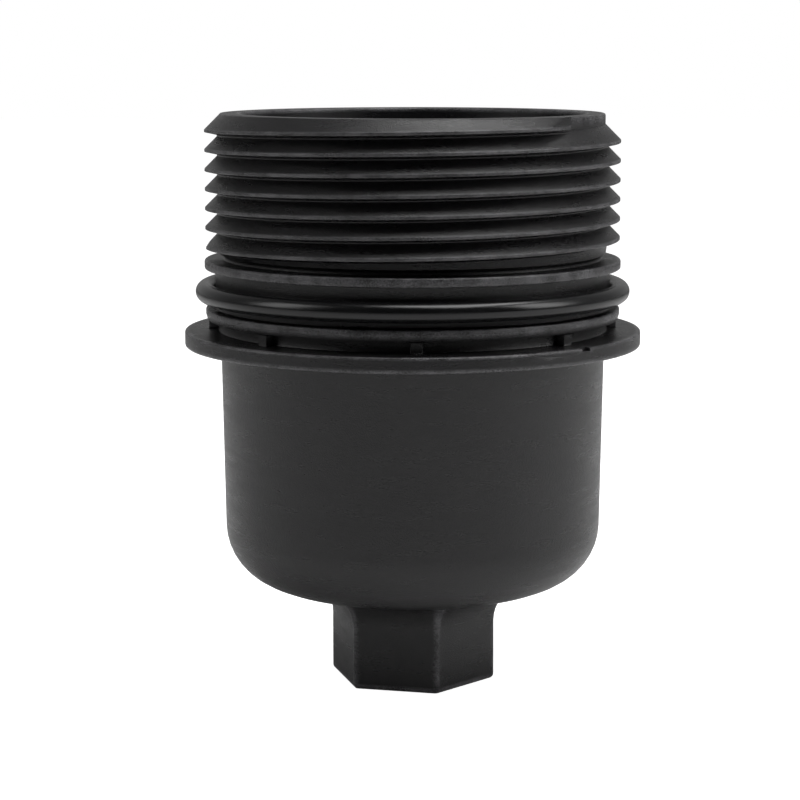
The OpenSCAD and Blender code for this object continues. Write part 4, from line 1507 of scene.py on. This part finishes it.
@dataclass
class BypassValve:
    """The valve in the core: seat, poppet with its seal, spring and the cage that holds it."""

    core: SupportCore
    lift: float
    seat_t: float = 2.4
    hole_r: float = 5.0
    head_r: float = 7.5
    head_t: float = 1.8
    stem_r: float = 2.2
    shoulder: float = 0.9
    wire_d: float = 0.9
    coils: float = 5.0
    cage_rim_w: float = 1.6
    cage_hub_w: float = 2.4

    @classmethod
    def from_frame(cls, core: SupportCore, joints: list[dict[str, Any]]) -> "BypassValve":
        """Takes the valve's lift from its joint."""
        joint = next(j for j in joints if j["name"] == "bypass_lift")
        return cls(core=core, lift=joint["range_m"][1] / MM)

    def seat(self, workshop: Workshop) -> None:
        """The turned seat with its raised lip."""
        low, high = box_mm("bypass_seat")
        outer, face = float(high[0]), float(low[2]) + self.seat_t
        outline = Outline.rounded(
            [Corner(self.hole_r, low[2], 0.15), Corner(outer, low[2], 0.2), Corner(outer, face, 0.25),
             Corner(self.hole_r + 1.4, face, 0.1), Corner(self.hole_r + 1, high[2], 0.15),
             Corner(self.hole_r + 0.4, high[2], 0.15), Corner(self.hole_r, face, 0.1)],
            closed=True, wear_and_highlight_width=0.2,
        )
        mesh = MeshDraft().turn(outline, closed=True).mesh("bypass_seat_skin")
        workshop.hand_over(mesh, "core", Slot.SEAT_BRASS, "bypass_seat")

    def poppet(self, workshop: Workshop) -> None:
        """The valve head and stem, and the rubber washer under the head."""
        low, high = box_mm("bypass_poppet")
        head_z = float(low[2]) + self.head_t
        cage_z = float(box_mm("bypass_cage")[0][2])
        stop_z = cage_z - self.lift - 0.1
        thick_r = self.stem_r + self.shoulder
        outline = Outline.rounded(
            [Corner(0, low[2]), Corner(self.head_r, low[2], 0.3), Corner(self.head_r, head_z, 0.5),
             Corner(thick_r, head_z, 0.6), Corner(thick_r, stop_z, 0.2), Corner(self.stem_r, stop_z, 0.2),
             Corner(self.stem_r, high[2], 0.6), Corner(0, high[2])],
            closed=False, wear_and_highlight_width=0.2,
        )
        mesh = MeshDraft().turn(outline, closed=False).mesh("bypass_poppet_skin")
        workshop.hand_over(mesh, "valve", Slot.VALVE_PLASTIC, "bypass_poppet")
        low, high = box_mm("poppet_seal")
        outline = Outline.ring((1.5, high[0]), (low[2], high[2]), (0.2, 0.3, 0.2, 0.2))
        mesh = MeshDraft().turn(outline, closed=True).mesh("poppet_seal_skin")
        workshop.hand_over(mesh, "valve", Slot.SEAL_RUBBER, "poppet_seal")

    def spring(self, workshop: Workshop) -> None:
        """The coil spring with closed ends."""
        low, high = box_mm("bypass_spring")
        mean_r = (self.stem_r + self.head_r) / 2 + 0.3
        wire = Outline.circle(mean_r, 0.0, self.wire_d, 12).points
        loop = np.concatenate([wire, wire[:1]])
        per_turn, level_turns = 48, 0.75
        turns = self.coils + 1
        rise = float(high[2] - low[2]) - self.wire_d
        values = {
            "Steps": round(turns * per_turn),
            "Steps per turn": per_turn,
            "Pitch": rise / (turns - 2 * level_turns) * MM,
            "Start angle": 0.0,
            "Start height": (float(low[2]) + self.wire_d / 2) * MM,
            "Level steps": round(level_turns * per_turn),
            "Crest radius": self.head_r * MM,
            "Start radius": self.head_r * MM,
            "End radius": self.head_r * MM,
            "Run-in steps": 0,
            "Run-out steps": 0,
            "Root radius": 0.0,
            "Back slope": 0.0,
            "Top height": 1.0,
            "Shared root": False,
            "Material": workshop.materials[Slot.SPRING_STEEL],
        }
        from_floor = np.roll(loop[:-1], 3, axis=0)
        section = np.concatenate([from_floor, from_floor[:1]])
        swept = workshop.helix.make(section, section, np.zeros(len(section)), values)
        draft = MeshDraft()
        rings = draft.add_mesh(swept).reshape(-1, len(section), 3)
        draft.add_polygon(rings[0, :-1])
        draft.add_polygon(rings[-1, :-1][::-1])
        mesh = draft.mesh("bypass_spring_skin")
        piece = workshop.hand_over(mesh, "core", Slot.SPRING_STEEL, "bypass_spring")
        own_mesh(piece)

    def cage(self, workshop: Workshop) -> None:
        """The spider that holds the spring down and guides the stem."""
        low, high = box_mm("bypass_cage")
        low_z, high_z = float(low[2]), float(high[2])
        outer = self.core.bore_r - 0.03
        heights = (low_z, high_z)
        rim = Outline.ring((outer - self.cage_rim_w, outer), heights, (0.2, 0.3, 0.3, 0.2), 0.2)
        hub_in, hub_r = self.stem_r + 0.05, self.stem_r + self.cage_hub_w
        hub = Outline.ring((hub_in, hub_r), heights, (0.2, 0.2, 0.3, 0.3), 0.2)
        spoke = slab(hub_r - 0.6, outer - 1.0, 1.0)
        bar = MeshDraft().add_prism(spoke, low_z + 0.2, high_z - 0.2).mesh("spoke")
        bars = workshop.ring.make(bar, 3, 0.0, workshop.materials[Slot.VALVE_PLASTIC])
        draft = MeshDraft().turn(rim, closed=True).turn(hub, closed=True)
        draft.add_mesh(workshop.bevelled(bars, 0.25))
        workshop.hand_over(draft.mesh("bypass_cage_skin"), "core", Slot.VALVE_PLASTIC, "bypass_cage")

    def build(self, workshop: Workshop) -> None:
        """Builds the valve's pieces."""
        self.seat(workshop)
        self.poppet(workshop)
        self.spring(workshop)
        self.cage(workshop)


# --- Filter element --------------------------------------------------------------------------


@dataclass
class FilterElement:
    """The lift-out element: pleated paper between two glued end plates with lip seals."""

    plate_r: float
    seal_r: float = 16.0
    pleat_r: float = 27.0
    pleat_in_r: float = 16.3
    pleat_count: int = 44
    paper_t: float = 0.5
    fold_squareness: float = 3.0
    paper_wave: float = 0.12
    plate_t: float = 2.2
    skirt_t: float = 0.7
    seam_turn: float = 90.0
    clip_t: float = 0.35
    clip_gap: float = 0.06
    clip_bend: float = 0.4
    plate_ribs: int = 24
    plate_columns: int = 144
    lip_bore_r: float = 13.07

    @classmethod
    def from_frame(cls) -> "FilterElement":
        """Takes the element's radius from the CAD end plate."""
        return cls(plate_r=float(box_mm("top_end_plate")[1][0]))

    def pleats(self, workshop: Workshop) -> None:
        """The paper: one fold, set round the axis and given its thickness."""
        low, high = box_mm("pleat_pack")
        half = 180 / self.pleat_count
        crown_r, foot_r = self.pleat_r - self.paper_t / 2, self.pleat_in_r + self.paper_t / 2
        share = np.linspace(-1, 1, 17)
        away = np.abs(share)
        bend = 2 * away - 1
        angle = np.sign(share) * half * (0.5 + 0.5 * np.sign(bend) * np.abs(bend) ** self.fold_squareness)
        depth = (crown_r - foot_r) * (1 - np.cos(math.pi * away)) / 2
        heights = np.linspace(float(low[2]), float(high[2]), 15)
        ripple = np.sin(np.arange(len(heights)) * 2.1)[:, None]
        wave = self.paper_wave * ripple * np.sin(math.pi * away)[None, :]
        sheet = MeshDraft()
        sheet.add_grid(place(crown_r - depth, np.radians(angle + wave), heights[:, None]))
        ring = workshop.ring.make(
            sheet.mesh("fold"), self.pleat_count, self.seam_turn, workshop.materials[Slot.FILTER_PAPER]
        )
        holder = bpy.data.objects.new("paper_holder", ring)
        bpy.context.scene.collection.objects.link(holder)
        wall = holder.modifiers.new("wall", "SOLIDIFY")
        wall.thickness = self.paper_t * MM
        wall.offset = 0.0
        mesh = finished_mesh(holder)
        bpy.data.objects.remove(holder)
        workshop.hand_over(mesh, "element", Slot.FILTER_PAPER, "pleat_pack", 60)

    def seam_clip(self, workshop: Workshop) -> None:
        """The folded strip that closes the paper's two ends."""
        low, high = box_mm("seam_clip")
        foot_y, half_foot = float(low[1]), float(high[0])
        crown_y, half_crown = float(high[1]), self.paper_t + self.clip_gap + self.clip_t
        t, bend = self.clip_t, self.clip_bend
        outer = [(half_foot, foot_y), (half_crown, crown_y - bend), (half_crown - bend, crown_y)]
        inner = [(half_crown - bend, crown_y - t), (half_crown - t, crown_y - bend), (half_foot - t, foot_y)]
        left = [(-x, y) for x, y in reversed(outer)]
        inside = [(-x, y) for x, y in reversed(inner)] + inner
        outline = np.array([*outer, *left, *inside])
        draft = MeshDraft().add_prism(outline, float(low[2]), float(high[2]))
        mesh = workshop.bevelled(draft.mesh("seam_clip_skin"), 0.08)
        workshop.hand_over(mesh, "element", Slot.CLIP_STEEL, "seam_clip")

    def end_plate(self, workshop: Workshop, node: str, up: bool) -> None:
        """An end plate with a recessed face, radial ribs and a skirt round the paper.

        Args:
            workshop: the shared finishes and trees.
            node: the CAD node.
            up: whether its outer face looks up.
        """
        low, high = box_mm(node)
        face, skirt = (float(high[2]), float(low[2])) if up else (float(low[2]), float(high[2]))
        out = 1.0 if up else -1.0
        back = face - out * self.plate_t
        inner, recess = self.seal_r + 0.03, 0.55
        corners = [
            Corner(inner, back, 0.15), Corner(self.plate_r - self.skirt_t, back, 0.2),
            Corner(self.plate_r - self.skirt_t, skirt, 0.15), Corner(self.plate_r, skirt, 0.25),
            Corner(self.plate_r, face, 0.6), Corner(self.plate_r - 1.9, face, 0.25),
            Corner(self.plate_r - 2.3, face - out * recess, 0.2),
            Corner(inner + 2.1, face - out * recess, 0.2),
            Corner(inner + 1.7, face, 0.25), Corner(inner, face, 0.3),
        ]
        outline = Outline.rounded(corners if up else corners[::-1], closed=True, wear_and_highlight_width=0.3)
        draft = MeshDraft().turn(outline, closed=True, columns=self.plate_columns)
        bar = slab(inner + 1.8, self.plate_r - 2.0, 0.4)
        ends = sorted((face - out * (recess + 0.3), face - out * 0.08))
        unit = MeshDraft().add_prism(bar, *ends).mesh("plate_rib")
        ribs = workshop.ring.make(unit, self.plate_ribs, 0.0, workshop.materials[Slot.PLATE_PLASTIC])
        draft.add_mesh(workshop.bevelled(ribs, 0.14))
        workshop.hand_over(draft.mesh(f"{node}_skin"), "element", Slot.PLATE_PLASTIC, node)

    def flat_ring(self, workshop: Workshop, node: str, slot: Slot, inner: float, fillet: float) -> None:
        """A plain moulded ring between its CAD node's heights."""
        low, high = box_mm(node)
        outer = float(high[0])
        outline = Outline.ring((inner, outer), (low[2], high[2]), [fillet] * 4, 0.2)
        mesh = MeshDraft().turn(outline, closed=True, columns=self.plate_columns).mesh(f"{node}_skin")
        workshop.hand_over(mesh, "element", slot, node)

    def lip_seal(self, workshop: Workshop, node: str) -> None:
        """A lip seal: a ring whose bore has two soft lips with a groove between them."""
        low, high = box_mm(node)
        bore, outer = self.lip_bore_r, float(high[0])
        low_z, high_z = float(low[2]), float(high[2])
        middle = (low_z + high_z) / 2
        outline = Outline.rounded(
            [Corner(bore + 0.6, low_z, 0.2), Corner(outer, low_z, 0.2), Corner(outer, high_z, 0.2),
             Corner(bore + 0.6, high_z, 0.2), Corner(bore, high_z - 0.9, 0.35),
             Corner(bore + 0.45, middle, 0.4), Corner(bore, low_z + 0.9, 0.35)],
            closed=True,
        )
        mesh = MeshDraft().turn(outline, closed=True).mesh(f"{node}_skin")
        workshop.hand_over(mesh, "element", Slot.SEAL_RUBBER, node)

    def spacer_bead(self, workshop: Workshop, node: str) -> None:
        """A bead of hot glue that bridges the folds and sags a little between them."""
        low, high = box_mm(node)
        middle, half_h = float(low[2] + high[2]) / 2, float(high[2] - low[2]) / 2
        middle_r, half_t = self.pleat_r + 0.3, 0.25
        open_deg = 3.6
        steps = self.pleat_count * 8
        turn = np.linspace(open_deg, 360 - open_deg, steps)
        swell = 0.86 + 0.14 * np.cos(np.radians(turn * self.pleat_count))
        angles = np.radians(turn + self.seam_turn)
        around = np.arange(12) * math.tau / 12
        r = middle_r + half_t * swell[:, None] * np.cos(around)[None, :]
        z = middle + half_h * swell[:, None] * np.sin(around)[None, :]
        points = place(r, angles[:, None], z)
        draft = MeshDraft()
        draft.add_grid(points, wrap=True)
        draft.add_polygon(points[0])
        draft.add_polygon(points[-1, ::-1])
        workshop.hand_over(draft.mesh(f"{node}_skin"), "element", Slot.BEAD_GLUE, node, 60)

    def build(self, workshop: Workshop) -> None:
        """Builds the element's pieces."""
        self.pleats(workshop)
        self.seam_clip(workshop)
        self.end_plate(workshop, "top_end_plate", up=True)
        self.end_plate(workshop, "bottom_end_plate", up=False)
        for end in ("top", "bottom"):
            self.flat_ring(workshop, f"{end}_glue_bed", Slot.GLUE, self.seal_r + 0.03, 0.2)
            self.lip_seal(workshop, f"{end}_lip_seal")
        for level in ("lower", "middle", "upper"):
            self.spacer_bead(workshop, f"{level}_spacer_bead")


# --- Studio ----------------------------------------------------------------------------------


@dataclass(frozen=True)
class SoftLight:
    """A soft panel of light: place and size in metres, power in watts."""

    name: str
    where: tuple[float, float, float]
    width: float
    height: float
    power: float

    def build(self, target: tuple[float, float, float]) -> None:
        """Hangs the panel and points it at a target."""
        data = bpy.data.lights.new(self.name, "AREA")
        data.shape = "RECTANGLE"
        data.size, data.size_y = self.width, self.height
        data.energy = self.power
        lamp = bpy.data.objects.new(self.name, data)
        lamp.location = self.where
        way = np.array(target) - np.array(self.where)
        lamp.rotation_euler = Vector(way).to_track_quat("-Z", "Y").to_euler()
        bpy.context.scene.collection.objects.link(lamp)


@dataclass
class Studio:
    """A pale floor and backdrop, soft lights and the camera."""

    aim_z: float = 0.05212
    distance: float = 0.4294
    down_deg: float = 8.871
    lens: float = 104.27
    shift_x: float = -0.0158
    floor_size: float = 6.0
    front_light: float = 0.018
    back_light: float = 0.3
    lights: tuple[SoftLight, ...] = (
        SoftLight("top_panel", (0.15, -0.05, 0.75), 0.55, 0.45, 3.7),
        SoftLight("left_panel", (-0.60, -0.15, 0.42), 0.3, 0.5, 1.05),
        SoftLight("right_panel", (0.60, -0.15, 0.42), 0.3, 0.5, 1.8),
    )

    def camera(self) -> None:
        """Places the camera."""
        data = bpy.data.cameras.new("camera")
        data.sensor_width = 36.0
        data.lens = self.lens
        data.shift_x = self.shift_x
        data.clip_start, data.clip_end = 0.01, 20.0
        camera = bpy.data.objects.new("camera", data)
        down = math.radians(self.down_deg)
        camera.location = (0.0, -self.distance * math.cos(down), self.aim_z + self.distance * math.sin(down))
        camera.rotation_euler = (math.radians(90) - down, 0.0, 0.0)
        bpy.context.scene.collection.objects.link(camera)
        bpy.context.scene.camera = camera

    def backdrop(self) -> bpy.types.World:
        """A white backdrop that lights the object from behind and leaves the front dim."""
        world = bpy.data.worlds.new("studio")
        world.use_nodes = True
        sheet = NodeSheet(world.node_tree)
        background = sheet.tree.nodes["Background"]
        background.inputs["Color"].default_value = (1.0, 1.0, 1.0, 1.0)
        way = sheet.add("ShaderNodeTexCoord").outputs["Generated"]
        behind = sheet.add("ShaderNodeSeparateXYZ", {0: way}).outputs["Y"]
        light = sheet.between(behind, -0.2, 0.9, self.front_light, self.back_light)
        seen = sheet.add("ShaderNodeLightPath").outputs["Is Camera Ray"]
        shown = sheet.math("MAXIMUM", light, seen)
        sheet.tree.links.new(shown, background.inputs["Strength"])
        return world

    def floor(self) -> None:
        """Lays the pale floor."""
        material = bpy.data.materials.new("pale_floor")
        material.use_nodes = True
        sheet = NodeSheet(material.node_tree)
        shader = sheet.tree.nodes["Principled BSDF"]
        coordinates = sheet.add("ShaderNodeTexCoord").outputs["Object"]
        tone = sheet.noise(coordinates, 3.0, 3.0)
        base = sheet.blend(tone, (0.9, 0.9, 0.9, 1.0), (0.94, 0.94, 0.94, 1.0))
        sheet.tree.links.new(base, shader.inputs["Base Color"])
        shader.inputs["Roughness"].default_value = 0.7
        shader.inputs["Specular IOR Level"].default_value = 0.1
        shader.inputs["Emission Color"].default_value = (1.0, 1.0, 1.0, 1.0)
        seen = sheet.add("ShaderNodeLightPath").outputs["Is Camera Ray"]
        sheet.tree.links.new(sheet.math("MULTIPLY", seen, 0.95), shader.inputs["Emission Strength"])
        half = self.floor_size / 2
        corners = [(-half, -half, 0.0), (half, -half, 0.0), (half, half, 0.0), (-half, half, 0.0)]
        mesh = bpy.data.meshes.new("floor")
        mesh.from_pydata(corners, [], [(0, 1, 2, 3)])
        mesh.materials.append(material)
        floor = bpy.data.objects.new("floor", mesh)
        bpy.context.scene.collection.objects.link(floor)

    def build(self) -> None:
        """Builds the studio."""
        scene = bpy.context.scene
        scene.view_settings.view_transform = "Standard"
        scene.world = self.backdrop()
        for light in self.lights:
            light.build((0.0, 0.0, self.aim_z))
        self.floor()
        self.camera()


def main() -> None:
    """Builds the whole scene."""
    logging.basicConfig(level=logging.INFO, format="%(name)s: %(message)s")
    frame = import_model()
    workshop = Workshop.open()
    core = SupportCore.from_frame()
    HousingCap.from_frame().build(workshop)
    core.build(workshop)
    BypassValve.from_frame(core, frame["joints"]).build(workshop)
    FilterElement.from_frame().build(workshop)
    Studio().build()
    LOG.info("%d pieces built", workshop.pieces)


if __name__ == "__main__":
    main()
